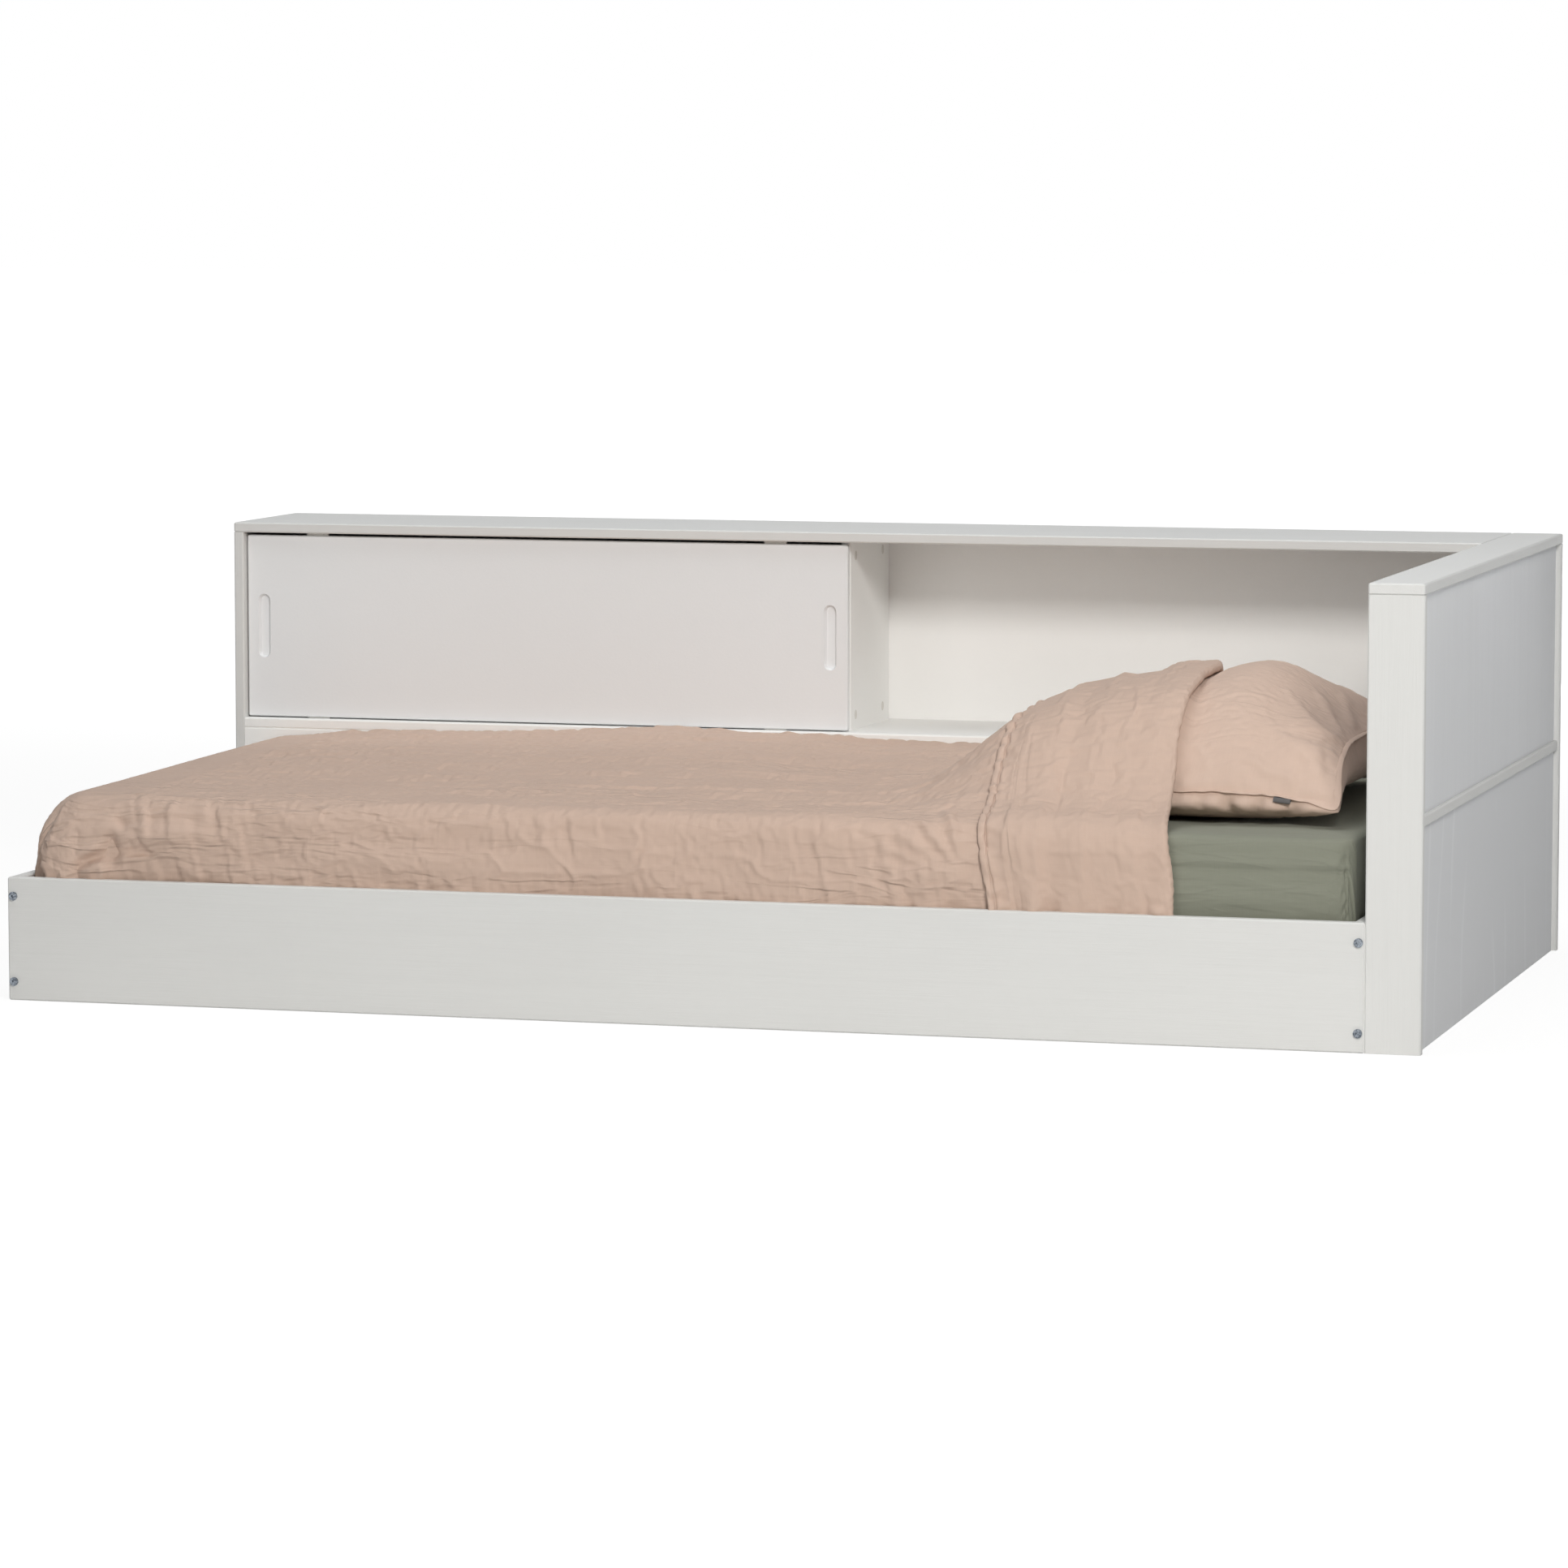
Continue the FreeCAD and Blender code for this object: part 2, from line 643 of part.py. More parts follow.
def duvet_outside(x, layers):
    """Outer side of the duvet's cross-section at x, from the front hem up and over to the rear edge."""
    lift = hump(x)
    fall = rounding(foot_round, x - x_drop)
    turn = rounding(corner_round, x - x_drop)
    loft = duvet_loft + (duvet_pressed - duvet_loft) * lift + flap_loft * layers
    front_height, rear_height = duvet_heights(x)
    wave = wave_height * math.sin(2 * math.pi * (x - x_foot - wave_start) / wave_length)
    drape = fold_depth * (1 + math.cos(2 * math.pi * (x - x_drop) / fold_pitch)) + fold_depth / 2
    y_face = y_drop + turn
    z_crest = z_under + crest_loft - fall
    y_front_slope = y_pillow[0] + slope_run * lift
    y_rear_slope = y_pillow[1] - rear_slope_run * lift
    return [
        (y_face, z_drop, drape),
        (y_face, z_crest - crest_fall, crest_bulge),
        (y_face + crest_run, z_crest, crown_on_flat),
        (y_front_slope, front_height + loft - fall, crown_on_flat + crown_on_pillow * lift),
        (y_rear_slope, rear_height + loft + wave / 2 - fall, crown_on_flat + rear_crown * lift),
        (y_rear, z_under + duvet_loft + wave - fall / 2, 0),
    ]


def duvet_inside(x):
    """Inner side of the duvet's cross-section at x, from the rear edge back to the front hem."""
    lift = hump(x)
    fall = rounding(inner_round, x - x_under)
    front_height, rear_height = duvet_heights(x)
    return [
        (y_rear, z_under - fall, -rear_crown * lift),
        (y_pillow[1] - rear_slope_run * lift, rear_height - fall, -crown_on_pillow * lift),
        (y_pillow[0] + slope_run * lift + slope_lean, front_height - fall, 0),
        (y_under + inner_round, z_under - fall, -inner_bow),
        (y_under, z_under - fall - inner_round, 0),
        (y_under, z_drop, 0),
    ]


def duvet():
    """The duvet: a foot drop, and a cover that rises over the pillow and doubles where it is turned back."""
    def across(x):
        return lambda u, v: Vector(x, u, v)

    y_foot_rear = y_case - base_board - slat_side_gap
    z_rail = base_height + rear_gap
    foot = []
    for x in spread(x_drop, x_under, edge_stations):
        lower = [(y_rear, z_rail, 0), (y_foot_rear, z_rail, 0), (y_foot_rear, z_drop, 0)]
        foot.append(bulged_wire(duvet_outside(x, 0) + lower, across(x)))
    stations = [(x, 0) for x in spread(x_under, x_under + inner_round, edge_stations)]
    stations += [(x, 0) for x in spread(x_under + inner_round, x_hump, flat_stations)[1:]]
    stations += [(x, 0 if x < x_hem else 1) for x in spread(x_hump, x_fold - fold_roll, hump_stations)[1:]]
    stations += [(x_hem - hem_step, 0), (x_hem, 1), (x_fold, fold_layers)]
    cover = []
    for x, layers in sorted(stations):
        cover.append(bulged_wire(duvet_outside(x, layers) + duvet_inside(x), across(x)))
    return Part.makeLoft(foot, True, True).fuse(Part.makeLoft(cover, True, True))


def bedding():
    """Mattress, fitted sheet, pillow and duvet."""
    return {
        "mattress": mattress_form(0),
        "fitted_sheet": fitted_sheet(),
        "pillow": pillow(),
        "duvet": duvet(),
    }


link_bolts, link_holes = connectors()
pieces = base_frame(link_bolts, link_holes)
pieces.update(slat_bed())
pieces.update(storage_case(link_holes))
pieces.update(sliding_door())
pieces.update(headboard(link_holes))
pieces.update(bedding())

os.makedirs("parts", exist_ok=True)
for name, shape in pieces.items():
    shape.exportStep(f"parts/{name}.step")
print(len(pieces), "pieces")
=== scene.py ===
# %% [markdown]
# # A floor bed with a storage case
# The packed model already holds every board, bolt and slat at its real size. This lesson keeps those boards,
# gives them a finish, and makes the bedding anew: a mattress, a fitted sheet, a pillow and a turned-back duvet.
# The first cell loads the frame.

# %% Load the frame
import math

import bmesh
import bpy
import numpy as np
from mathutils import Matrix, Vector


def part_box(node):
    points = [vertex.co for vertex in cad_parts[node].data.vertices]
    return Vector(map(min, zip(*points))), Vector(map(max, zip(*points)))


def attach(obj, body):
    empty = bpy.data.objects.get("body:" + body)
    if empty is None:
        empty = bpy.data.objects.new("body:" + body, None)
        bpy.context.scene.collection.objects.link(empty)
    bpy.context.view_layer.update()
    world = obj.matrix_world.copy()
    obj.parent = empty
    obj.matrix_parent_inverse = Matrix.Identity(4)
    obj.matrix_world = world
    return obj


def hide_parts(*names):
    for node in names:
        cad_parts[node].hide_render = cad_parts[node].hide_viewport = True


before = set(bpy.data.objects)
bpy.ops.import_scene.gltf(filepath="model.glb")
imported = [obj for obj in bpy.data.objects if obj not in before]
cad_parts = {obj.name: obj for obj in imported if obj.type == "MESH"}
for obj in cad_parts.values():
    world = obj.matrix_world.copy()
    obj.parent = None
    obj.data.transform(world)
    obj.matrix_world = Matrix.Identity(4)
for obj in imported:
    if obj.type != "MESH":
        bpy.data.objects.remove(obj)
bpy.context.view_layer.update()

# %% [markdown]
# ## Camera
# The photograph was taken with a long lens from well in front of the headboard end, a little above the bed.
# A camera is three things here: where it stands, which way it looks, and how narrow its view is.
# The angles are written as a photographer would say them, so Blender's rotation is worked out from them.

# %% Place the camera
camera_place = (2.574, -9.113, 1.239)
camera_down = math.radians(5.702)
camera_left = math.radians(15.989)
sensor_width = 36.0
lens = 142.5


def add_object(name, data):
    """A new object in the scene, made from a camera, a lamp or a mesh."""
    made = bpy.data.objects.new(name, data)
    bpy.context.scene.collection.objects.link(made)
    return made


view = bpy.data.cameras.new("view")
view.sensor_width = sensor_width
view.lens = lens
camera = add_object("view", view)
camera.location = camera_place
camera.rotation_euler = (math.pi / 2 - camera_down, 0, camera_left)
bpy.context.scene.camera = camera
print("camera looks", round(math.degrees(camera_left), 1), "degrees left of the bed's width")

# %% [markdown]
# ## Shader maths
# A finish is a small calculation that runs at every point of a surface. Blender draws it as nodes and wires,
# which are slow to read, so one class wraps a socket and lets Python's own operators add the Math nodes.
# Every other kind of node comes from one method, which sets the node up and then fills or links its sockets.

# %% A socket that can be calculated with
class Field:
    """A socket in a finish. Arithmetic on it adds Math nodes, and node() adds any other node."""

    def __init__(self, tree, socket=None):
        self.tree = tree
        self.socket = socket

    def node(self, kind, settings, sockets, output=0):
        made = self.tree.nodes.new(kind)
        for name, value in settings.items():
            setattr(made, name, value)
        for name, value in sockets.items():
            if isinstance(value, Field):
                self.tree.links.new(value.socket, made.inputs[name])
            else:
                made.inputs[name].default_value = value
        return Field(self.tree, made.outputs[output])

    def maths(self, operation, first, second):
        return self.node("ShaderNodeMath", {"operation": operation}, {0: first, 1: second})

    def __add__(self, other):
        return self.maths("ADD", self, other)

    def __sub__(self, other):
        return self.maths("SUBTRACT", self, other)

    def __rsub__(self, other):
        return self.maths("SUBTRACT", other, self)

    def __mul__(self, other):
        return self.maths("MULTIPLY", self, other)

    def __abs__(self):
        return self.maths("ABSOLUTE", self, 0.0)

    __radd__ = __add__
    __rmul__ = __mul__


print("a field can:", [name for name, value in vars(Field).items() if callable(value)])

# %% [markdown]
# A few helpers save words later. Colours are written as a paint chart gives them, from 0 to 255, and turned
# into the linear light that Blender calculates with. A noise is a smooth random pattern: stretched, it is
# grain or a thread, and even, it is a cloudy tone. A shade mixes two colours by such a pattern.

# %% Colours, patterns and shades
# The Mix node has sockets of the same names for each kind of value, so those for colours go by number.
MIX_FACTOR, MIX_FIRST, MIX_SECOND, MIX_RESULT = 0, 6, 7, 2


def paint(red, green, blue):
    """A colour of a paint chart as linear light, with full cover."""
    shares = [value / 255 for value in (red, green, blue)]
    linear = [s / 12.92 if s <= 0.04045 else ((s + 0.055) / 1.055) ** 2.4 for s in shares]
    return (*linear, 1.0)


def darker(colour, share):
    """The same colour with a share of its light."""
    return tuple(value * share for value in colour[:3]) + (1.0,)


def place_of(start, stretch=(1, 1, 1)):
    """A point's place on the piece, in metres, stretched so that a pattern is drawn out along an axis."""
    place = start.node("ShaderNodeTexCoord", {}, {}, "Object")
    return start.node("ShaderNodeMapping", {}, {"Vector": place, "Scale": stretch})


def noise(place, size, detail=3.0, roughness=0.5, distortion=0.0):
    """A smooth random pattern from 0 to 1, whose patches are about size metres across."""
    sockets = {"Vector": place, "Scale": 1 / size, "Detail": detail, "Roughness": roughness,
               "Distortion": distortion}
    return place.node("ShaderNodeTexNoise", {}, sockets)


def shade(amount, first, second):
    """A colour between two, by an amount from 0 to 1."""
    sockets = {MIX_FACTOR: amount, MIX_FIRST: first, MIX_SECOND: second}
    return amount.node("ShaderNodeMix", {"data_type": "RGBA"}, sockets, MIX_RESULT)


def between(field, low, high):
    """0 where a field is at or below low, 1 at or above high, and smooth between."""
    sockets = {"Value": field, "From Min": low, "From Max": high}
    return field.node("ShaderNodeMapRange", {"interpolation_type": "SMOOTHSTEP"}, sockets)


def mottled(tone, colour, dull):
    """A colour that a cloudy tone makes duller in places."""
    return shade(between(tone, 0.3, 0.7), darker(colour, dull), colour)


def bands(place, scale, distortion, detail, detail_scale, **settings):
    """Even bands or rings from 0 to 1, bent by a noise."""
    sockets = {"Vector": place, "Scale": scale, "Distortion": distortion, "Detail": detail,
               "Detail Scale": detail_scale}
    return place.node("ShaderNodeTexWave", settings, sockets, "Fac")


print("a paint of 128 is", round(paint(128, 128, 128)[0], 3), "in linear light")

# %% [markdown]
# A finish starts from Blender's own Principled shader. What is the same all over is set on its sockets, and what
# varies is linked: the colour, sometimes the roughness, and a relief that only tilts the light.

# %% Starting and linking a finish
SHADER = "Principled BSDF"
PAINT_GLOSS = {"IOR": 1.45, "Specular IOR Level": 0.12}
WOOD_GLOSS = {"IOR": 1.45, "Specular IOR Level": 0.25}
CLOTH_GLOSS = {"IOR": 1.4, "Specular IOR Level": 0.15}


def finish(name, constants):
    """A new material with some of its shader's sockets set, and a field to start its patterns from."""
    material = bpy.data.materials.new(name)
    material.use_nodes = True
    for socket, value in constants.items():
        material.node_tree.nodes[SHADER].inputs[socket].default_value = value
    return material, Field(material.node_tree)


def connect(start, colour, height, depth, roughness=None):
    """Links the patterns that vary over the surface: its colour, its relief and perhaps its roughness."""
    relief = start.node("ShaderNodeBump", {}, {"Height": height, "Distance": depth})
    patterns = {"Base Color": colour, "Normal": relief}
    if roughness is not None:
        patterns["Roughness"] = roughness
    for socket, pattern in patterns.items():
        start.tree.links.new(pattern.socket, start.tree.nodes[SHADER].inputs[socket])


print("paint, wood and cloth mirror", [g["Specular IOR Level"] for g in (PAINT_GLOSS, WOOD_GLOSS, CLOTH_GLOSS)])

# %% [markdown]
# ## Painted boards
# The bed is softwood and plywood under white paint. From a step away it is plain white, and close by the grain
# lifts the paint in fine streaks along each board. A wood texture with rings would show far too much, so one
# noise drawn out along the board is enough for the grain, and a second, cloudy one varies the paint's tone.

# %% Board finishes
GRAIN_STRETCH = {"X": (0.03, 1.0, 1.0), "Y": (1.0, 0.03, 1.0), "Z": (1.0, 1.0, 0.03)}
fibre_size = 0.003
streak_size = 0.02
cloud_size = 0.35


def painted_board(name, colour, grain, relief, dull=0.965):
    """White paint on wood, with its grain along X, Y or Z."""
    material, start = finish(name, PAINT_GLOSS)
    along = place_of(start, GRAIN_STRETCH[grain])
    fibres = noise(along, fibre_size, detail=5.0, roughness=0.65, distortion=0.4)
    streaks = noise(along, streak_size, detail=2.0, distortion=0.8)
    clouds = noise(place_of(start), cloud_size, detail=2.0)
    tone = fibres * 0.4 + streaks * 0.2 + clouds * 0.4
    connect(
        start, colour=mottled(tone, colour, dull),
        roughness=0.42 + fibres * 0.16,
        height=fibres * 0.7 + streaks * 0.3, depth=relief,
    )
    return material


def veneered_panel(name, colour, relief):
    """Thin painted plywood, whose rotary-cut face shows faint pale arches through the paint."""
    material, start = finish(name, PAINT_GLOSS)
    along = place_of(start, (1.0, 1.0, 0.45))
    arches = bands(along, 3.2, 5.0, 2.0, 0.9, wave_type="RINGS", rings_direction="X")
    fibres = noise(place_of(start, GRAIN_STRETCH["Z"]), fibre_size, detail=4.0, roughness=0.6)
    clouds = noise(along, 0.2, detail=3.0)
    line = between(arches, 0.93, 1.0) * between(clouds, 0.4, 0.6)
    connect(
        start, colour=shade(line * 0.6 + fibres * 0.4, darker(colour, 0.96), darker(colour, 1.05)),
        roughness=0.45 + fibres * 0.15,
        height=fibres + line * 0.6, depth=relief,
    )
    return material


def smooth_paint(name, colour, speckle):
    """Sprayed or foil-faced board without grain: a fine orange-peel relief and a slow change of tone."""
    material, start = finish(name, PAINT_GLOSS)
    peel = noise(place_of(start), speckle, detail=2.0)
    clouds = noise(place_of(start), 0.5, detail=2.0)
    connect(
        start, colour=mottled(clouds, colour, 0.975),
        roughness=0.4 + peel * 0.1,
        height=peel, depth=0.00015,
    )
    return material


board_white = paint(222, 222, 220)
panel_white = paint(231, 232, 234)
# The lining is a whiter copy of the board paint: painted light for the light that bounces round the open case.
lining_white_painted_light = paint(250, 250, 248)
boards = {axis: painted_board(f"painted_board_{axis}", board_white, axis, 0.0005) for axis in "XYZ"}
linings_painted_light = {axis: painted_board(f"lining_board_painted_light_{axis}", lining_white_painted_light, axis, 0.0003, 0.985) for axis in "XYZ"}
upper_panel = painted_board("grained_panel", panel_white, "Z", 0.0007, 0.94)
lower_panel = veneered_panel("veneered_panel", darker(panel_white, 0.95), 0.0004)
door_paint = smooth_paint("door_paint", paint(239, 240, 241), 0.004)
# The back boards are smooth white fibreboard, and their faint warm tint is painted light for the warm light that
# the bedding bounces into the case.
back_paint_and_painted_bounce = smooth_paint("back_paint_and_painted_bounce", paint(248, 247, 245), 0.006)
print("board finishes:", len(boards) + len(linings_painted_light) + len([upper_panel, lower_panel, door_paint, back_paint_and_painted_bounce]))

# %% [markdown]
# ## Bare wood, metal and plastic
# The slats, the ledgers and the headboard's inner rails are planed softwood without paint, so their rings show.
# The bolts are steel with a bright zinc skin, and the small fittings of the door and the cams are moulded plastic.

# %% Wood, zinc and plastic
def planed_wood(name, pale, dark, grain):
    """Planed softwood: rings as distorted bands along the grain, with fine fibres between."""
    material, start = finish(name, WOOD_GLOSS)
    along = place_of(start, GRAIN_STRETCH[grain])
    rings = bands(along, 28.0, 6.0, 2.0, 0.8, bands_direction="DIAGONAL", wave_profile="SAW")
    fibres = noise(along, 0.002, detail=4.0, roughness=0.7)
    tone = rings * 0.6 + fibres * 0.4
    connect(
        start, colour=shade(between(tone, 0.15, 0.95), pale, dark),
        roughness=0.55 + fibres * 0.2,
        height=fibres + rings * 0.4, depth=0.0004,
    )
    return material


def zinc_plate(name, dark, bright):
    """Zinc on steel: a bright, faintly blue skin with soft blotches from the bath."""
    material, start = finish(name, {"Metallic": 1.0})
    blotches = noise(place_of(start), 0.003, detail=4.0, roughness=0.6)
    connect(
        start, colour=shade(between(blotches, 0.35, 0.65), dark, bright),
        roughness=0.16 + blotches * 0.2,
        height=blotches, depth=0.0001,
    )
    return material


pale_wood, dark_wood = paint(226, 202, 164), paint(200, 166, 120)
woods = {axis: planed_wood(f"planed_wood_{axis}", pale_wood, dark_wood, axis) for axis in "XY"}
zinc = zinc_plate("zinc", paint(84, 90, 98), paint(150, 157, 165))
plastic = smooth_paint("white_plastic", paint(226, 224, 219), 0.0008)
print("other finishes:", [made.name for made in (*woods.values(), zinc, plastic)])

# %% [markdown]
# ## Floor and light
# The photograph shows the bed on plain white. The floor here is pale and keeps the bed's shadow, and for the
# camera and for reflections it is lifted towards white. The sky does the same: it is white to look at, and
# lights the bed hardly at all.

# %% Floor and sky
bpy.context.scene.view_settings.view_transform = "Standard"
WHITE = (1.0, 1.0, 1.0, 1.0)
warm_white = (1.0, 0.985, 0.96)
cool_white = (0.96, 0.98, 1.0)
sky_strength = 0.01
floor_half = 60.0
floor_drop = 0.0005
floor_glow = 1.1
floor_share = 0.8
floor_fade = (2.5, 8.0)


def seen_directly(start):
    """1 where the camera, a reflection or clear glass looks at a surface, and 0 where light bounces off it."""
    rays = ("Is Camera Ray", "Is Glossy Ray", "Is Transmission Ray")
    camera_ray, glossy_ray, clear_ray = (start.node("ShaderNodeLightPath", {}, {}, ray) for ray in rays)
    return camera_ray + glossy_ray + clear_ray


def show(mixed, tree, output):
    """Makes a mixed shader the one that a surface or the sky shows."""
    tree.links.new(mixed.socket, tree.nodes[output].inputs["Surface"])


def lay_floor():
    """A wide pale floor under the bed."""
    mesh = bpy.data.meshes.new("floor")
    ways = ((-1, -1), (1, -1), (1, 1), (-1, 1))
    mesh.from_pydata([(x * floor_half, y * floor_half, -floor_drop) for x, y in ways], [], [(0, 1, 2, 3)])
    floor = add_object("floor", mesh)
    material, start = finish("pale_floor", {"Base Color": paint(235, 235, 234), "Roughness": 0.9})
    glow = start.node("ShaderNodeEmission", {}, {"Color": WHITE, "Strength": floor_glow})
    matt = Field(start.tree, start.tree.nodes[SHADER].outputs[0])
    distance = start.node("ShaderNodeVectorMath", {"operation": "LENGTH"}, {0: place_of(start)}, "Value")
    share = floor_share + between(distance, *floor_fade) * (1 - floor_share)
    mixed = start.node("ShaderNodeMixShader", {}, {0: seen_directly(start) * share, 1: matt, 2: glow})
    show(mixed, start.tree, "Material Output")
    mesh.materials.append(material)


def light_sky(strength, tint):
    """An even sky that lights the bed at one strength and is white to look at."""
    sky = bpy.data.worlds.new("sky")
    sky.use_nodes = True
    bpy.context.scene.world = sky
    start = Field(sky.node_tree)
    ambient = start.node("ShaderNodeBackground", {}, {"Color": tint, "Strength": strength})
    white = start.node("ShaderNodeBackground", {}, {"Color": WHITE, "Strength": 1.0})
    mixed = start.node("ShaderNodeMixShader", {}, {0: seen_directly(start), 1: ambient, 2: white})
    show(mixed, sky.node_tree, "World Output")


lay_floor()
light_sky(sky_strength, (*cool_white, 1.0))
print("floor:", 2 * floor_half, "m wide")

# %% [markdown]
# The main lamp stands in front, to the right and well above, so that the case's top shades the upper half of its
# open compartment and the headboard shades the end of the pillow. A wide, weak lamp on the left softens its
# shadows, one overhead lights the level faces, one on the right skims the headboard's outer panels, and a low one
# behind lights the bed's back without reaching its top.

# %% Lamps
def add_lamp(name, place, aim, width, height, power, tint):
    """A rectangular soft lamp that points at a place."""
    light = bpy.data.lights.new(name, "AREA")
    light.shape = "RECTANGLE"
    light.size = width
    light.size_y = height
    light.energy = power
    light.color = tint
    lamp = add_object(name, light)
    lamp.location = place
    lamp.rotation_euler = (Vector(aim) - Vector(place)).to_track_quat("-Z", "Y").to_euler()


bed_middle = (0.1, 0.3, 0.4)
add_lamp("front_lamp", (2.8, -5.2, 3.35), bed_middle, 1.6, 1.2, 210.0, warm_white)
add_lamp("front_fill", (-1.8, -7.6, 1.8), bed_middle, 4.0, 3.0, 80.0, warm_white)
add_lamp("top_lamp", (-0.6, -0.4, 4.6), (0.0, 0.0, 0.4), 4.0, 3.0, 102.0, cool_white)
add_lamp("side_lamp", (3.2, -0.6, 2.5), (1.0, 0.0, 0.4), 1.4, 0.9, 12.0, cool_white)
add_lamp("rear_lamp", (-0.6, 5.6, 0.33), (0.0, 0.6, 0.33), 4.0, 0.5, 110.0, cool_white)

# %% [markdown]
# ## Cloth as a grid of points
# Bedding is easier to shape as numbers than by hand: a grid of points, one for every few millimetres of cloth.
# Each point knows where it was on the flat cloth, which later places the weave and the seams. These helpers
# shape lines and folds as heights over the flat cloth.

# %% Shapes of lines and folds
RANDOM_TABLE = 256
LINE_SAMPLES = 7
ridge_power = 6
ridge_patches = (-0.2, 0.6)
crease_fade = 0.4


def ease(value, low, high):
    """0 at low, 1 at high, and smooth between and beyond."""
    share = np.clip((value - low) / (high - low), 0, 1)
    return share * share * (3 - 2 * share)


def hill(value, middle, width):
    """1 at the middle, falling smoothly to nothing at about twice the width on both sides."""
    return np.exp(-((value - middle) / width) ** 2)


def line_through(x, points, soft):
    """Heights of a line through (x, height) points, with its corners rounded over a distance of soft."""
    places, heights = zip(*points)
    shifts = np.linspace(-soft, soft, LINE_SAMPLES)
    return sum(np.interp(x + shift, places, heights) for shift in shifts) / len(shifts)


def ripples(u, v, size, seed):
    """Smooth random heights from -1 to 1 over flat cloth, in patches about size metres across."""
    n = RANDOM_TABLE
    values = np.random.default_rng(seed).uniform(-1, 1, (n, n))
    i = np.floor(u / size).astype(int)
    j = np.floor(v / size).astype(int)
    du, dv = (share ** 3 * (share * (6 * share - 15) + 10) for share in (u / size - i, v / size - j))
    near, far = (values[i % n, side % n] * (1 - du) + values[(i + 1) % n, side % n] * du for side in (j, j + 1))
    return near * (1 - dv) + far * dv


def waves_of(p, q, table):
    """Sum of random waves, listed as stretch along and across, patch size, seed and height."""
    return sum(ripples(p * along, q * across, size, seed) * height
               for along, across, size, seed, height in table)


def crumples(u, v, size, seed):
    """Thin ridges from 0 to 1, as pressed cloth keeps them, in some places only."""
    ridge = (1 - abs(ripples(u, v, size, seed))) ** ridge_power
    return ridge * ease(ripples(u, v, size * 3, seed + 1), *ridge_patches)


def crease(u, v, start, end, width, height):
    """A soft ridge along a line on the flat cloth, which fades out towards both ends."""
    (u0, v0), (u1, v1) = start, end
    length = math.hypot(u1 - u0, v1 - v0)
    along = ((u - u0) * (u1 - u0) + (v - v0) * (v1 - v0)) / length
    aside = ((v - v0) * (u1 - u0) - (u - u0) * (v1 - v0)) / length
    fade = ease(along, 0, crease_fade * length) * ease(length - along, 0, crease_fade * length)
    return height * fade * hill(aside, 0, width)


print("a crease of 2 mm is", crease(0.5, 0.0, (0, 0), (1, 0), 0.01, 0.002), "m high at its middle")

# %% [markdown]
# The next helpers lay flat cloth over a block with rounded corners and edges, the way a tablecloth lies on a
# table, and turn a grid of points into a mesh that remembers the flat cloth as its UV map.

# %% Grids of cloth
TINY = 1e-12


def drape(p, q, x_sides, y_sides, corner, edge):
    """Where flat cloth lies on a block with rounded corners and edges: its place in plan, and how far down."""
    x = np.clip(p, x_sides[0] + corner, x_sides[1] - corner)
    y = np.clip(q, y_sides[0] + corner, y_sides[1] - corner)
    over_x, over_y = abs(p - x), abs(q - y)
    run = np.maximum(over_x, over_y)
    ratio = np.minimum(over_x, over_y) / np.maximum(run, TINY)
    angle = np.where(over_x >= over_y, ratio, 2 - ratio) * math.pi / 4
    bend = np.clip((run - (corner - edge)) / edge, 0, math.pi / 2)
    reach = np.minimum(run, corner - edge) + edge * np.sin(bend)
    down = edge * (1 - np.cos(bend)) + np.maximum(0, run - (corner - edge) - edge * math.pi / 2)
    return x + np.sign(p - x) * np.cos(angle) * reach, y + np.sign(q - y) * np.sin(angle) * reach, down


def over_edge(edge, drop):
    """Length of cloth beyond a block's side, when it goes over the edge and down by a drop."""
    return drop - edge * (2 - math.pi / 2)


def stack(*parts):
    """Puts grids of numbers together as the coordinates of points."""
    return np.stack(parts, axis=-1)


def unit(ways):
    """The same directions with a length of 1."""
    return ways / np.maximum(np.linalg.norm(ways, axis=-1, keepdims=True), TINY)


def normals(points):
    """Unit normals of a grid of points, to the side that shows."""
    return unit(np.cross(np.gradient(points, axis=0), np.gradient(points, axis=1)))


def grid(columns, rows):
    """Two grids of flat coordinates, from places along the bed and across it."""
    return np.meshgrid(columns, rows, indexing="ij")


def steps(low, high, size):
    """Even places from low to high, about size apart."""
    return np.linspace(low, high, max(2, round((high - low) / size) + 1))


def cloth_piece(name, points, flat, closed=False):
    """A mesh of quads through a grid of points, with the flat cloth's coordinates as its UV map."""
    columns, rows = points.shape[:2]
    index = np.arange(columns * rows).reshape(columns, rows)
    if closed:
        index = np.vstack([index, index[:1]])
    quads = stack(index[:-1, :-1], index[1:, :-1], index[1:, 1:], index[:-1, 1:])
    mesh = bpy.data.meshes.new(name)
    mesh.from_pydata(points.reshape(-1, 3).tolist(), [], quads.reshape(-1, 4).tolist())
    corners = np.empty(len(mesh.loops), int)
    mesh.loops.foreach_get("vertex_index", corners)
    weave = mesh.uv_layers.new(name="Weave")
    weave.uv.foreach_set("vector", flat.reshape(-1, 2)[corners].astype(np.float32).ravel())
    mesh.shade_smooth()
    return add_object(name, mesh)


def points_of(mesh):
    """The points of a mesh as an array."""
    flat = np.empty(len(mesh.vertices) * 3, np.float32)
    mesh.vertices.foreach_get("co", flat)
    return flat.reshape(-1, 3).astype(float)


print("cloth over a 20 mm edge and down 100 mm needs", round(over_edge(0.02, 0.1), 3), "m beyond the side")

# %% [markdown]
# ## Letting cloth settle
# Creases that are only drawn look drawn. Blender's Cloth finds real ones: the piece is told that it was cut a few
# percent larger than the form it lies in, so the spare cloth has to buckle somewhere. Soft pins hold every point
# near its place and gravity is off. Then the slow part of the movement is taken out again, so that the buckles
# stay and the form that was laid out is kept. A stuffed piece keeps all its movement, because its filling
# presses it out.

# %% Cloth that settles
settle_frames = 18
slow_rounds = 80


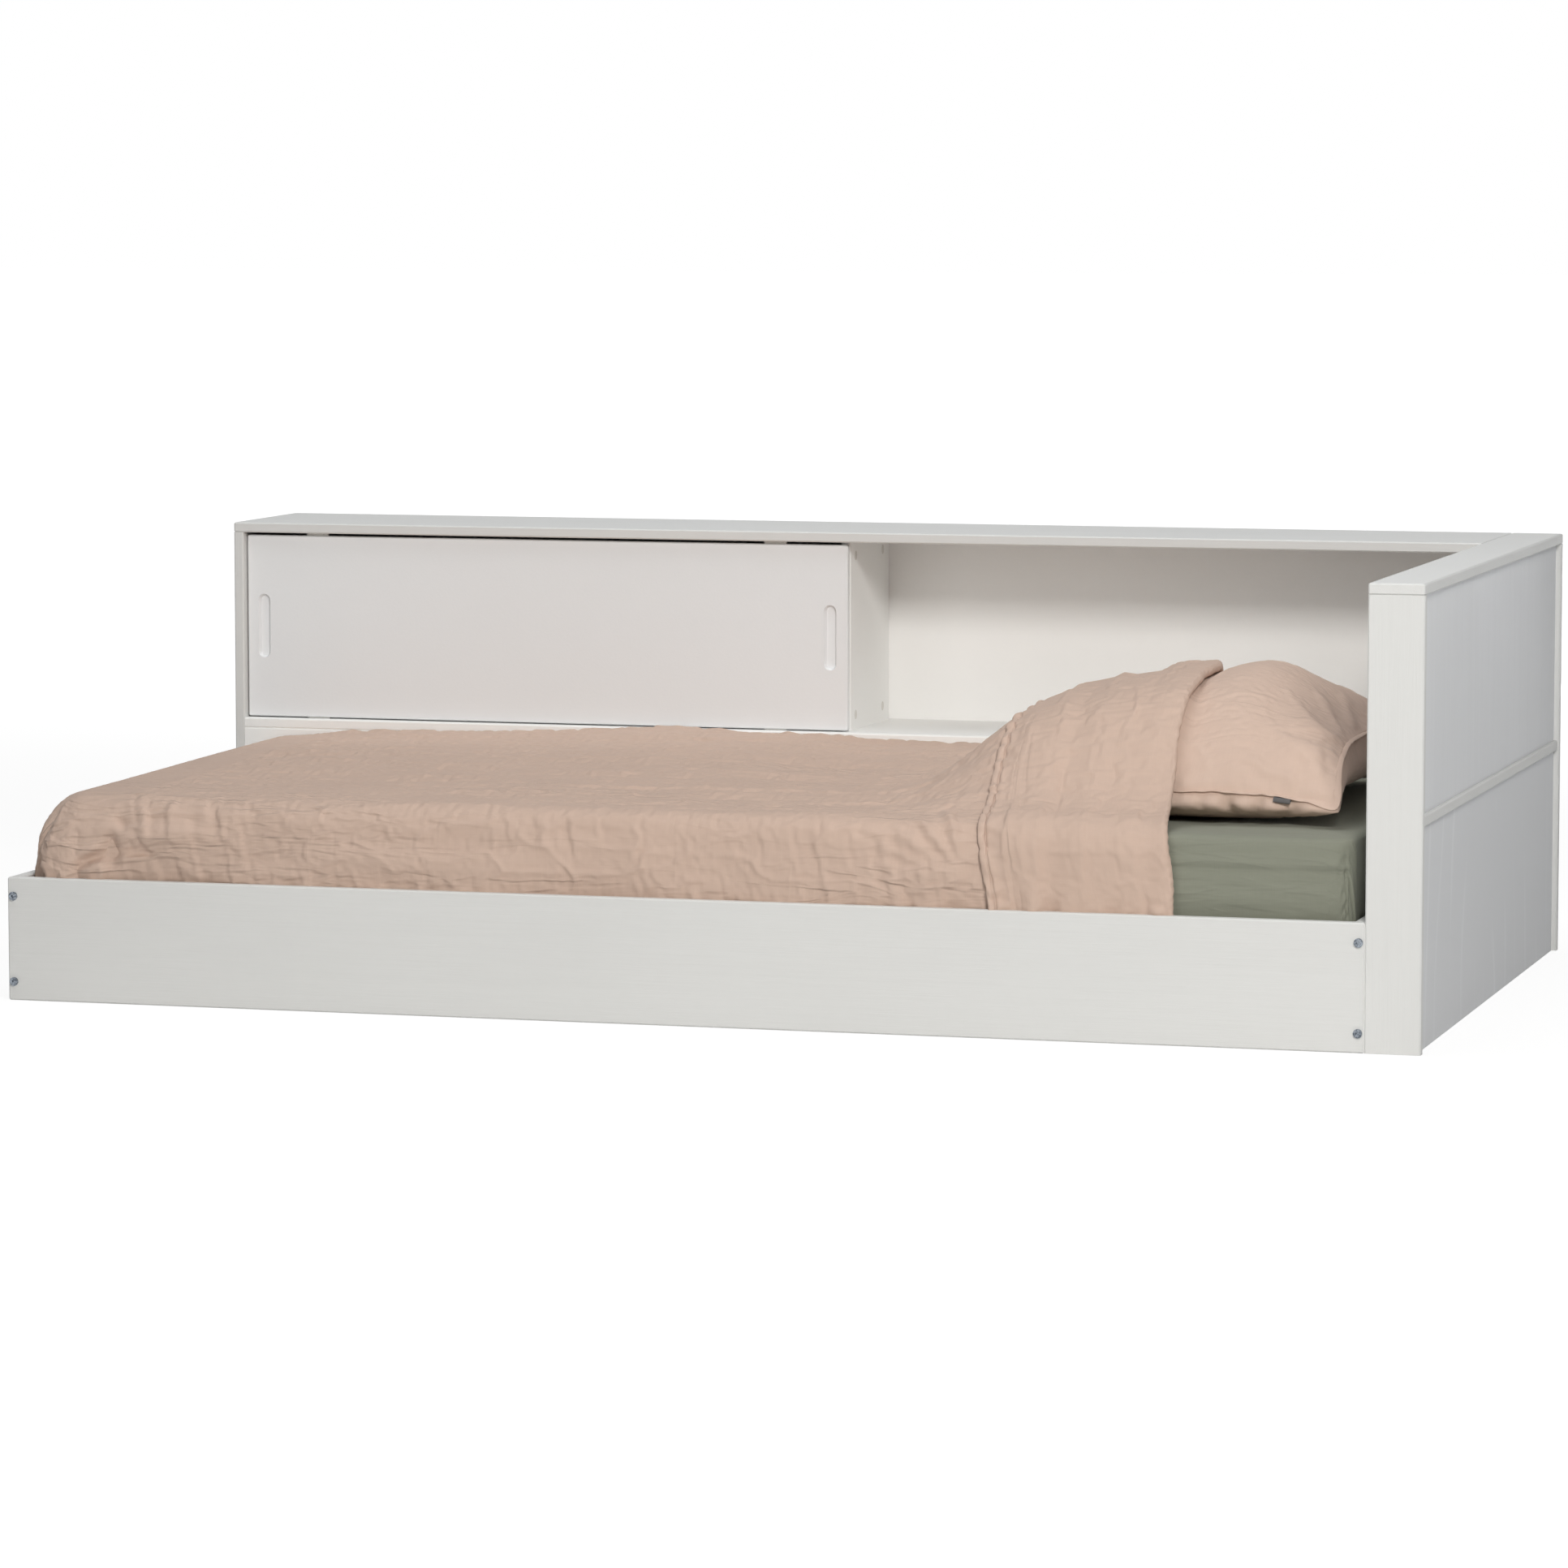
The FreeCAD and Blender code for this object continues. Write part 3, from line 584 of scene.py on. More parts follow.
def slow_part(mesh, moved):
    """Movement of the points averaged over their neighbours many times, which leaves only its slow changes."""
    ends = np.empty(len(mesh.edges) * 2, int)
    mesh.edges.foreach_get("vertices", ends)
    first, second = np.concatenate([ends.reshape(-1, 2), ends.reshape(-1, 2)[:, ::-1]]).T
    count = np.maximum(np.bincount(first, minlength=len(moved)), 1)
    slow = moved
    for _ in range(slow_rounds):
        sums = [np.bincount(first, slow[second, axis], len(moved)) for axis in range(3)]
        slow = np.stack([total / count for total in sums], axis=1)
    return slow


def settle(piece, growth, hold, cap, bending, pressure=0.0):
    """Buckles a piece that was cut larger than its form by a share. Hold is a pin weight for each point."""
    form = points_of(piece.data)
    pins = piece.vertex_groups.new(name="pins")
    for index, weight in enumerate(hold):
        pins.add([index], float(weight), "REPLACE")
    cloth = piece.modifiers.new("settle", "CLOTH")
    cloth.settings.vertex_group_mass = pins.name
    cloth.settings.effector_weights.gravity = 0.0
    cloth.settings.shrink_min = -growth
    cloth.settings.bending_stiffness = bending
    cloth.settings.use_pressure = pressure > 0
    cloth.settings.uniform_pressure_force = pressure
    cloth.collision_settings.use_collision = False
    cloth.point_cache.frame_end = settle_frames
    for number in range(1, settle_frames + 1):
        bpy.context.scene.frame_set(number)
    settled = piece.evaluated_get(bpy.context.evaluated_depsgraph_get())
    moved = points_of(settled.data) - form
    piece.modifiers.remove(cloth)
    piece.vertex_groups.clear()
    bpy.context.scene.frame_set(1)
    if not pressure:
        moved = moved - slow_part(piece.data, moved)
    far = np.linalg.norm(moved, axis=1, keepdims=True)
    capped = form + moved * np.minimum(1.0, cap / np.maximum(far, TINY))
    piece.data.vertices.foreach_set("co", capped.astype(np.float32).ravel())
    piece.data.update()
    print(piece.name, "settled:", round(1000 * float(far.mean()), 2), "mm on average,",
          round(1000 * float(far.max()), 1), "mm at most")


print("cloth settles over", settle_frames, "frames")

# %% [markdown]
# ## Mattress
# The mattress is a foam block in a quilted cover with piping round its upper and lower edge. It hardly shows, yet
# the sheet has to lie on something, and it can be seen from below between the slats. Two halves, each laid over a
# rounded block, are sewn at half height.

# %% Mattress
mattress_low, mattress_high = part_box("mattress")
mattress_edge = 0.016
mattress_grid = 0.012
foot_corner = 0.085
head_corner = 0.038
foot_round = 0.058
covered_round = 0.036
shown_from = 0.6
round_fade = 0.2
shown_fade = 0.1
piping = 0.0025
piping_place = 0.6
piping_width = 0.006
under_sheet = 0.003
weld = 1e-6


def join(pieces):
    """Joins pieces into the first one and welds the points that lie together."""
    with bpy.context.temp_override(active_object=pieces[0], selected_editable_objects=pieces):
        bpy.ops.object.join()
    shape = bmesh.new()
    shape.from_mesh(pieces[0].data)
    bmesh.ops.remove_doubles(shape, verts=shape.verts, dist=weld)
    shape.to_mesh(pieces[0].data)
    shape.free()
    pieces[0].data.shade_smooth()
    return pieces[0]


def sew(name, upper, lower, flat):
    """One closed mesh from an upper and a lower panel that share their outer points."""
    return join([cloth_piece(name, upper, flat), cloth_piece(name + "_lower", lower[::-1], flat[::-1])])


def over_mattress(p, q, x_sides, y_sides, edge):
    """Flat cloth over a mattress, whose edge is pressed rounder under the duvet, and most of all at the foot."""
    corner = foot_corner + (head_corner - foot_corner) * (p > 0)
    foot = x_sides[0] + foot_corner
    places = [foot, foot + round_fade, shown_from - shown_fade, shown_from]
    edges = np.interp(p, places, [foot_round, covered_round, covered_round, edge])
    return *drape(p, q, x_sides, y_sides, corner, edges), corner


def mattress_block():
    """The mattress, a little inside the sheet, with piping along its edges."""
    inset = piping + under_sheet
    x_sides = (mattress_low.x + inset, mattress_high.x - inset)
    y_sides = (mattress_low.y + inset, mattress_high.y - inset)
    half = (mattress_high.z - mattress_low.z) / 2
    beyond = over_edge(mattress_edge, half)
    p, q = grid(*(steps(low - beyond, high + beyond, mattress_grid) for low, high in (x_sides, y_sides)))
    x, y, down, _ = over_mattress(p, q, x_sides, y_sides, mattress_edge)
    top = stack(x, y, mattress_high.z - inset - down)
    top = top + normals(top) * (piping * hill(down, piping_place * mattress_edge, piping_width))[..., None]
    bottom = top * (1, 1, -1) + (0, 0, mattress_low.z + mattress_high.z)
    return sew("mattress_block", top, bottom, stack(p, q))


mattress = mattress_block()
print("mattress:", len(mattress.data.vertices), "points")

# %% [markdown]
# ## Slat tapes
# Two webbing tapes keep the slats apart. On the real bed they are stapled to every slat, so they lie flat on the
# wood and dip a little in the gaps. A grid with five points across is enough for a strip that thin.

# %% Tapes
tape_low, tape_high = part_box("slat_tapes")
tape_width = 0.025
tape_grid = 0.006
tape_points = 5
tape_lift = 0.0006
tape_dip = 0.0015
slat_half = 0.04
slat_fade = 0.012
slat_nodes = sorted(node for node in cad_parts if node.startswith("slat_") and node != "slat_tapes")


def webbing_tape(name, y):
    """One tape along the bed on top of the slats."""
    along = steps(tape_low.x, tape_high.x, tape_grid)
    on_slat = np.max([ease(slat_half - abs(along - (low.x + high.x) / 2), 0.0, slat_fade)
                      for low, high in map(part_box, slat_nodes)], axis=0)
    p, q = grid(along, np.linspace(0, tape_width, tape_points))
    z = tape_low.z + tape_lift - tape_dip * (1 - on_slat)[:, None] + 0 * q
    return cloth_piece(name, stack(p, y + q, z), stack(p, q))


tapes = [webbing_tape("front_tape", tape_low.y), webbing_tape("rear_tape", tape_high.y - tape_width)]
print("tapes:", len(tapes), "on", len(slat_nodes), "slats")

# %% [markdown]
# ## Fitted sheet
# A fitted sheet is a flat piece of cotton with darts sewn at its four corners and elastic in its hem, pulled over
# the mattress. It could be simulated, but it is held so tight that the block under it gives nearly all its
# form. So it is laid over that block, with the few creases that the photograph shows and puckers at the darts.

# %% Fitted sheet
sheet_low, sheet_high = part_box("fitted_sheet")
sheet_edge = 0.017
hidden_grid = 0.012
shown_grid = 0.0042
shown_depth = 0.07
sheet_relief_room = 0.0012
crease_drop = 0.044
sheet_pulls = [(0.7, 4, 0.11, 3, 0.0016), (1.5, 6, 0.08, 4, 0.0007)]


def dart_folds(p, q, down, x_sides, y_sides, corner):
    """Heights of the seam down each corner and of the puckers beside it."""
    past_x = np.maximum(x_sides[0] + corner - p, p - x_sides[1] + corner)
    past_y = np.maximum(y_sides[0] + corner - q, q - y_sides[1] + corner)
    from_dart = past_x - past_y
    near_corner = ease(np.minimum(past_x, past_y), 0.0, 0.03)
    puckers = near_corner * hill(from_dart, 0.0, 0.03) * ripples(p * 0.6, down, 0.011, 21) * 0.003
    return puckers, near_corner * (hill(from_dart, 0.004, 0.003) - hill(from_dart, -0.004, 0.004)) * 0.0018


def fitted_sheet():
    """The sheet's visible skin, with a dart down each corner and a crease along its front."""
    x_sides, y_sides = (sheet_low.x, sheet_high.x), (sheet_low.y, sheet_high.y)
    beyond = over_edge(sheet_edge, sheet_high.z - sheet_low.z)
    shown_to = y_sides[0] + shown_depth
    columns = np.concatenate([steps(x_sides[0] - beyond, shown_from, hidden_grid),
                              steps(shown_from, x_sides[1] + beyond, shown_grid)[1:]])
    rows = np.concatenate([steps(y_sides[0] - beyond, shown_to, shown_grid),
                           steps(shown_to, y_sides[1] + beyond, hidden_grid)[1:]])
    p, q = grid(columns, rows)
    x, y, down, corner = over_mattress(p, q, x_sides, y_sides, sheet_edge)
    points = stack(x, y, sheet_high.z - down)
    side = ease(down, 0.006, 0.03)
    puckers, dart = dart_folds(p, q, down, x_sides, y_sides, corner)
    below_edge = y_sides[0] - q
    crease_at = over_edge(sheet_edge, crease_drop) + 0.002 * ripples(p, q * 0, 0.3, 6)
    ridge, valley = hill(below_edge, crease_at - 0.006, 0.006), hill(below_edge, crease_at + 0.004, 0.004)
    front_crease = (ridge - valley) * 0.0024
    piped_edge = hill(down, 0.35 * sheet_edge, 0.004) * 0.0018
    slack = crumples(p * 0.4 + q * 0.5, q * 1.4, 0.05, 8) * 0.0022 * ease(below_edge, 0.03, 0.06)
    height = side * (waves_of(p, q, sheet_pulls) + puckers + dart + front_crease + slack)
    height = height + (1 - side) * ripples(p, q, 0.06, 5) * 0.0009 + piped_edge
    points = points + normals(points) * (height - sheet_relief_room)[..., None]
    return cloth_piece("fitted_sheet_cloth", points, stack(p, q))


sheet = fitted_sheet()
print("sheet:", len(sheet.data.vertices), "points")

# %% [markdown]
# ## Duvet
# The duvet lies over the mattress, hangs down behind the rail and the foot board, rises over the pillow and is
# turned back there. First come its heights without folds. They are a few lines read off the photograph: the wavy
# rear edge, the rise along the bed and the slope across it.

# %% Duvet heights
duvet_low, duvet_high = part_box("duvet")
rail_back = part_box("front_rail")[1].y
duvet_foot = duvet_low.x
duvet_front = rail_back + 0.0045
duvet_rear = duvet_high.y
duvet_corner = 0.082
duvet_edge = 0.040
foot_edge = 0.068
crest_height = 0.307
hem_height = duvet_low.z
rear_heights = [(-1.03, 0.312), (-0.77, 0.325), (-0.49, 0.331), (-0.29, 0.340), (-0.09, 0.340),
                (-0.03, 0.336), (0.02, 0.329), (0.2, 0.331), (0.7, 0.331)]
rise_along = [(0.17, 0.0), (0.23, 0.004), (0.28, 0.020), (0.312, 0.043), (0.342, 0.066), (0.379, 0.101),
              (0.417, 0.124), (0.466, 0.139), (0.521, 0.154), (0.552, 0.160), (0.601, 0.169), (0.630, 0.177),
              (0.648, 0.179), (0.668, 0.175), (0.70, 0.170), (0.72, 0.168)]
rise_across = [(-0.56, 0.0), (-0.515, 0.07), (-0.47, 0.24), (-0.43, 0.47), (-0.385, 0.70), (-0.332, 0.90),
               (-0.243, 0.985), (-0.15, 1.0), (-0.08, 0.985), (0.0, 0.92), (0.06, 0.81), (0.12, 0.64),
               (0.18, 0.42), (0.24, 0.21), (0.29, 0.08), (0.33, 0.02)]


def duvet_height(x, y):
    """Height of the duvet's lower layer over the bed, before folds."""
    rear = line_through(x, rear_heights, 0.05)
    flat = crest_height + (rear - crest_height) * ease(y, duvet_front, duvet_rear)
    return flat + line_through(x, rise_along, 0.014) * line_through(y, rise_across, 0.03)


print("duvet is", round(float(duvet_height(0.6, -0.1)), 3), "m high on the pillow")

# %% [markdown]
# Next, the cloth's own coordinates become places on the bed. The duvet's hem hangs behind the rail, and where the
# photograph shows it lifted a little, before the rise to the pillow, it is lifted here too.

# %% Duvet without folds
x_flat = duvet_foot + duvet_corner
y_flat = duvet_front + duvet_corner
duvet_beyond = over_edge(duvet_edge, crest_height - hem_height)
q_hem = duvet_front - duvet_beyond
p_hem = duvet_foot - duvet_beyond
far_side = 3.0
gap_at_hem = 0.010
gap_middle = 0.245
gap_width = 0.05
rear_tuck = 0.3


def front_place(z):
    """Place across the flat cloth of a height on the front drop."""
    return duvet_front - over_edge(duvet_edge, crest_height - z)


def cover(p, q):
    """The duvet's lower layer without folds: flat cloth to points."""
    edge = foot_edge + (duvet_edge - foot_edge) * ease(p, x_flat, x_flat + 0.15)
    x, y, down = drape(p, q, (duvet_foot, far_side), (duvet_front, far_side), duvet_corner, edge)
    past_rear = np.maximum(0, q - duvet_rear)
    lifted_hem = gap_at_hem * hill(p, gap_middle, gap_width) * ease(front_place(0.23) - q, 0, 0.04)
    y = np.minimum(y, duvet_rear) - rear_tuck * past_rear
    return stack(x, y, duvet_height(x, y) - down - past_rear + lifted_hem)


print("cloth beyond the front edge:", round(duvet_beyond, 3), "m")

# %% [markdown]
# The folds are heights on the flat cloth: long waves on top, level creases and upright gathers down the front, a
# fan of folds where the rise begins, and pleats, a dent and a small knot round the corner at the foot. Those that
# the photograph shows clearly are listed one by one, and the rest is random with fixed seeds.

# %% Duvet folds
top_waves = [(1.0, 2.2, 0.34, 11, 0.005), (0.7, 3, 0.12, 12, 0.0032)]
pleat_count = 11
# Each fold: its two ends as (x, height on the front drop), its width and its height off the cloth.
corner_folds = [
    ((-0.912, 0.272), (-0.902, 0.204), 0.013, -0.015), ((-0.970, 0.212), (-0.906, 0.234), 0.008, -0.011),
    ((-0.970, 0.228), (-0.912, 0.248), 0.008, 0.006), ((-0.965, 0.203), (-0.905, 0.217), 0.008, 0.013),
    ((-0.914, 0.220), (-0.921, 0.184), 0.006, 0.012), ((-0.918, 0.200), (-0.950, 0.184), 0.005, 0.010),
    ((-0.905, 0.236), (-0.820, 0.222), 0.010, -0.008), ((-0.905, 0.253), (-0.760, 0.247), 0.006, 0.006),
    ((-0.890, 0.265), (-0.700, 0.254), 0.006, 0.005), ((-0.905, 0.290), (-0.880, 0.262), 0.007, -0.005)]
fan_folds = [((0.412, 0.225), end, width, height) for end, width, height in (
    ((0.26, 0.222), 0.007, 0.0035), ((0.25, 0.247), 0.008, 0.005), ((0.26, 0.272), 0.008, 0.006),
    ((0.28, 0.300), 0.009, 0.007), ((0.31, 0.330), 0.009, 0.008), ((0.345, 0.380), 0.009, 0.008),
    ((0.30, 0.200), 0.007, 0.004))]
hem_bunches = [((0.445, 0.192), (0.472, 0.188), 0.006, 0.006), ((0.668, 0.190), (0.695, 0.186), 0.007, 0.007)]


def drawn_folds(p, q, folds):
    """Heights of folds that are listed by their ends on the front drop."""
    return sum(crease(p, q, (x0, front_place(z0)), (x1, front_place(z1)), width, height)
               for (x0, z0), (x1, z1), width, height in folds)


def front_folds(p, q, front_run):
    """Heights on the front drop: its bulge, its level creases and a few slanted ones."""
    rumpled = 0.45 + 0.55 * hill(p, -0.6, 0.28)
    level = ripples(p * 0.6, q * 3.2, 0.1, 13) * 0.006 + crumples(p * 0.2, q, 0.036, 14) * 0.009 * rumpled
    slanted = crumples((p + q) * 0.6, (q - p * 0.35) * 1.2, 0.06, 22) * 0.0035
    return level + slanted + 0.004 * hill(front_run, 0.145, 0.035)


def gathers(p, q, front_run):
    """Heights of the upright gathers under the crest and down to the hem, in patches."""
    patches = ease(ripples(p, q, 0.2, 19), -0.5, 0.5)
    strength = 0.004 * hill(front_run, 0.10, 0.03) + 0.0045 * ease(front_run, 0.14, 0.19)
    return ripples(p + 0.25 * q, q * 0.12, 0.016, 15) * patches * strength


def duvet_folds(p, q):
    """Heights of the folds over the flat cloth of the lower layer."""
    front_run, foot_run = y_flat - q, x_flat - p
    front, foot = ease(front_run, 0.07, 0.105), ease(foot_run, 0.05, 0.105)
    waves = waves_of(p, q, top_waves) + crumples(p * 0.22, q * 0.8, 0.05, 20) * 0.003
    height = (1 - front) * ease(-foot_run, 0.0, 0.1) * waves + front * front_folds(p, q, front_run)
    height = height + (1 - foot) * gathers(p, q, front_run)
    height = height + foot * (1 - front) * ripples(p * 0.8, q * 2, 0.12, 17) * 0.002
    both = np.minimum(foot_run, front_run)
    around = np.clip(front_run / np.maximum(front_run + foot_run, TINY), 0, 1)
    pleats = np.sin(around * math.pi * pleat_count + 1.5 * ripples(p, q, 0.05, 18))
    height = height + ease(both, 0.03, 0.12) * pleats * 0.0045 * ease(0.75 - around, 0.0, 0.3)
    past_crest = ease(np.maximum(front_run, foot_run), 0.08, 0.14)
    puffed = 4 * around * (1 - around) * ease(both, 0.0, 0.03) * past_crest
    return height + 0.012 * puffed + drawn_folds(p, q, fan_folds + corner_folds)


print("drawn folds:", len(fan_folds + corner_folds + hem_bunches))

# %% [markdown]
# The duvet is one closed loop of cloth: over the bed, a little way in under the turned-back end, round that end's
# hem, back over it, round the fold and along underneath. The loop is a list of stations along the bed, each with
# an offset from the lower layer, and every station runs from the front hem to the rear edge.

# %% Duvet stations
duvet_grid = 0.0054
under_grid = 0.02
flap_thickness = 0.008
pressed_thickness = 0.006
roll_radius = (flap_thickness + pressed_thickness) / 2
roll_points = 12
tuck = 0.03
hump_start = 0.2
hump_run = 0.23
back_run = 0.25
under_run = 1.7
hem_profile = [(tuck, 0.0012), (0.014, 0.0012), (0.004, 0.0018), (0.0, 0.0045), (0.0014, 0.0075),
               (0.0042, 0.0092), (0.0075, 0.0092), (0.0105, 0.0078), (0.0125, 0.0050), (0.0145, 0.0074),
               (0.018, 0.0084)]
hem_tucked = 3


def hem_line(q):
    """Where the turned-back end's hem lies along the bed, for each place across the cloth."""
    places = [(q_hem, 0.440), (front_place(0.20), 0.434), (front_place(0.29), 0.417), (-0.42, 0.402),
              (0.3, 0.392)]
    return line_through(q, places, 0.02) + 0.0014 * ripples(q, q * 0, 0.04, 31)


def fold_line(q):
    """Where the duvet is folded back, for each place across the cloth."""
    places = [(q_hem, 0.706), (front_place(0.25), 0.702), (duvet_front, 0.695), (-0.5, 0.680), (-0.42, 0.671),
              (-0.34, 0.666), (-0.25, 0.668), (-0.15, 0.671), (-0.1, 0.666), (0.0, 0.650), (0.1, 0.632),
              (0.3, 0.61)]
    return line_through(q, places, 0.03) + 0.0024 * ripples(q, q * 0, 0.05, 32)


def duvet_stations(q):
    """Places along the cloth and offsets from the lower layer, all round the loop, for each place across."""
    hem, fold = hem_line(q), fold_line(q)
    flat = np.repeat(steps(p_hem, hump_start, duvet_grid)[:, None], len(q), axis=1)
    rise = hump_start + (hem + tuck - hump_start) * steps(0, 1, duvet_grid / hump_run)[1:, None]
    run, offset = np.array(hem_profile).T[:, :, None]
    last_run = hem_profile[-1][0]
    back_share = steps(0, 1, duvet_grid / back_run)[1:, None]
    back = hem + last_run + (fold - roll_radius - hem - last_run) * back_share
    turn = np.linspace(0, math.pi, roll_points)[1:, None]
    rolled = fold - roll_radius + roll_radius * np.sin(turn)
    roll_offset = flap_thickness - roll_radius + roll_radius * np.cos(turn)
    under = fold - roll_radius + (p_hem - fold + roll_radius) * steps(0, 1, under_grid / under_run)[1:, None]
    groups = [(flat, 0.0, "lower"), (rise, 0.0, "lower"),
              (hem + run[:hem_tucked], offset[:hem_tucked], "tuck"),
              (hem + run[hem_tucked:], offset[hem_tucked:], "flap"), (back, flap_thickness, "flap"),
              (rolled, roll_offset, "roll"), (under, -pressed_thickness, "under")]
    p = np.concatenate([places for places, _, _ in groups])
    offsets = np.concatenate([np.broadcast_to(off, places.shape) for places, off, _ in groups])
    part = np.concatenate([np.full(len(places), name) for places, _, name in groups])
    return p, offsets, part


print("the fold lies", round(float(fold_line(-0.2) - hem_line(-0.2)), 3), "m from the turned-back hem")

# %% [markdown]
# The turned-back end has its own folds, which run down its slope. On the flat cloth it is moved far away from the
# rest, so that the finish can tell it apart later. Then the whole loop settles: the underside is held, the hems
# and the roll nearly so, and the foot more than the top.

# %% Duvet loop
flap_shift = 10.0
stitch_run = 0.0125
rear_rows = (0.008, 0.018)
normal_step = 0.002
foot_hold, top_hold, roll_hold, edge_hold = 0.75, 0.4, 0.75, 0.9


def flap_folds(p, q):
    """Heights of the folds of the turned-back end: long soft ones down the slope, and puckers at its hem."""
    front_run = y_flat - q
    drop = ease(front_run, 0.05, 0.12)
    near_hem = hill(p, 0.47, 0.08)
    long_folds = ripples(p * 1.2 + 0.06 * q, q * 0.14, 0.04, 41) * (0.0042 + 0.004 * drop * near_hem)
    broad = ripples(p, q * 0.6, 0.16, 42) * 0.004
    on_crest = 0.3 + near_hem * hill(front_run, 0.08, 0.05)
    fine = ripples(p + 0.1 * q, q * 0.1, 0.015, 46) * 0.0022 * on_crest
    rail = ripples(p, q * 0.25, 0.022, 43) * ease(front_run, 0.13, 0.19) * 0.005
    puckers = ripples(p * 0.2, q, 0.010, 44) * hill(p - hem_line(q), 0.010, 0.010) * 0.0034
    hair = crumples(p * 0.8, q * 0.25, 0.05, 45) * 0.003
    return long_folds + broad + fine + rail + puckers + hair + drawn_folds(p, q, hem_bunches)


def duvet():
    """The duvet's form with its folds, and how firmly each point is held while it settles."""
    across = np.concatenate([steps(q_hem, duvet_rear, duvet_grid), duvet_rear + np.array(rear_rows)])
    p, offset, part = duvet_stations(across)
    q = np.broadcast_to(across, p.shape)
    step = normal_step
    normal = unit(np.cross(cover(p + step, q) - cover(p - step, q), cover(p, q + step) - cover(p, q - step)))
    lower, flap = duvet_folds(p, q), flap_folds(p, q)
    own = ease(p - hem_line(across), 0.0, 0.05)
    on_flap = np.isin(part, ["flap", "roll"])[:, None]
    folds = np.where(on_flap, lower * (1 - own) + flap, lower)
    folds = np.where((part == "under")[:, None], 0.0, folds)
    points = cover(p, q) + normal * (offset + folds)[..., None]
    hold = np.where(p < duvet_foot + 0.15, foot_hold, top_hold)
    hold[part == "under"] = 1.0
    hold[part == "roll"] = roll_hold
    hold[:, :2] = edge_hold
    hold[:, -3:] = edge_hold
    along = np.where(on_flap, flap_shift + p - hem_line(across), p)
    return cloth_piece("duvet_cover", points, stack(along, q), closed=True), hold.ravel()


duvet_piece, duvet_hold = duvet()
print("duvet:", len(duvet_piece.data.vertices), "points")
settle(duvet_piece, 0.06, duvet_hold, 0.008, 0.3)

# %% [markdown]
# ## Pillow
# A pillow is two panels sewn round their edges and stuffed. Its left half lies under the duvet, so its seam dips
# there, and the right seam rises between two drooping corners. Both panels are laid on one grid from seam to
# seam: the upper one domes, and the lower one bellies out and lies flat on the sheet. Where the duvet covers it,
# the upper panel stays just below the duvet.

# %% Pillow form
pillow_x = (0.322, 0.908)
pillow_y = (-0.458, 0.232)
pillow_draw = 0.012
pillow_grid = 0.0062
pillow_top = [(0.32, 0.318), (0.342, 0.350), (0.379, 0.385), (0.417, 0.408), (0.466, 0.424), (0.521, 0.444),
              (0.601, 0.466), (0.655, 0.487), (0.68, 0.496), (0.70, 0.503), (0.732, 0.508), (0.760, 0.504),
              (0.792, 0.489), (0.818, 0.470), (0.840, 0.453), (0.857, 0.439), (0.885, 0.418), (0.908, 0.402)]
pillow_end_seam = [(0.32, 0.316), (0.5, 0.335), (0.7, 0.347), (0.80, 0.344), (0.885, 0.340), (0.908, 0.333)]
bed_top = sheet_high.z + 0.0004
belly_runs = (0.17, 0.10)
fold_cover = 0.66
fold_touch = (-0.012, 0.012)
cover_gap = 0.002
least_height = 1e-6
under_bulge = 0.022
near_edge = (0.7, 0.95)
# Valleys of the lower panel: place at the seam, place at the bed, width and depth.
under_folds = [(0.712, 0.716, 0.007, 0.006), (0.738, 0.772, 0.010, 0.016), (0.800, 0.790, 0.009, 0.010),
               (0.852, 0.828, 0.010, 0.012)]
# Folds of the upper panel: both ends in plan, width and height.
pillow_folds = [
    ((0.902, -0.440), (0.765, -0.330), 0.012, 0.004), ((0.895, -0.400), (0.780, -0.200), 0.013, 0.004),
    ((0.900, -0.330), (0.800, -0.100), 0.012, 0.004), ((0.870, -0.450), (0.740, -0.400), 0.010, 0.003),
    ((0.898, -0.250), (0.830, 0.000), 0.011, 0.004), ((0.905, -0.455), (0.870, -0.350), 0.008, -0.004)]


def pillow_relief(x, y):
    """Heights of the folds of the pillow's upper panel."""
    (left, right), (near, far) = pillow_x, pillow_y
    broad = ripples(x, y, 0.13, 51) * 0.005
    end_folds = ripples(x * 0.25, y, 0.03, 52) * 0.0045 * ease(x, right - 0.13, right - 0.02)
    puckers = ripples(x, y * 0.25, 0.014, 53) * 0.0026 * hill(y, near + 0.012, 0.028)
    hair = crumples(x * 0.7 + y * 0.4, y * 0.9 - x * 0.3, 0.045, 54) * 0.0022
    drawn = sum(crease(x, y, *fold) for fold in pillow_folds)
    from_seam = np.minimum(np.minimum(x - left, right - x), np.minimum(y - near, far - y)) - pillow_draw
    folds = broad + end_folds + puckers + hair + drawn
    return folds * ease(from_seam, -0.01, 0.02) * ease(x, 0.6, fold_cover + 0.03)


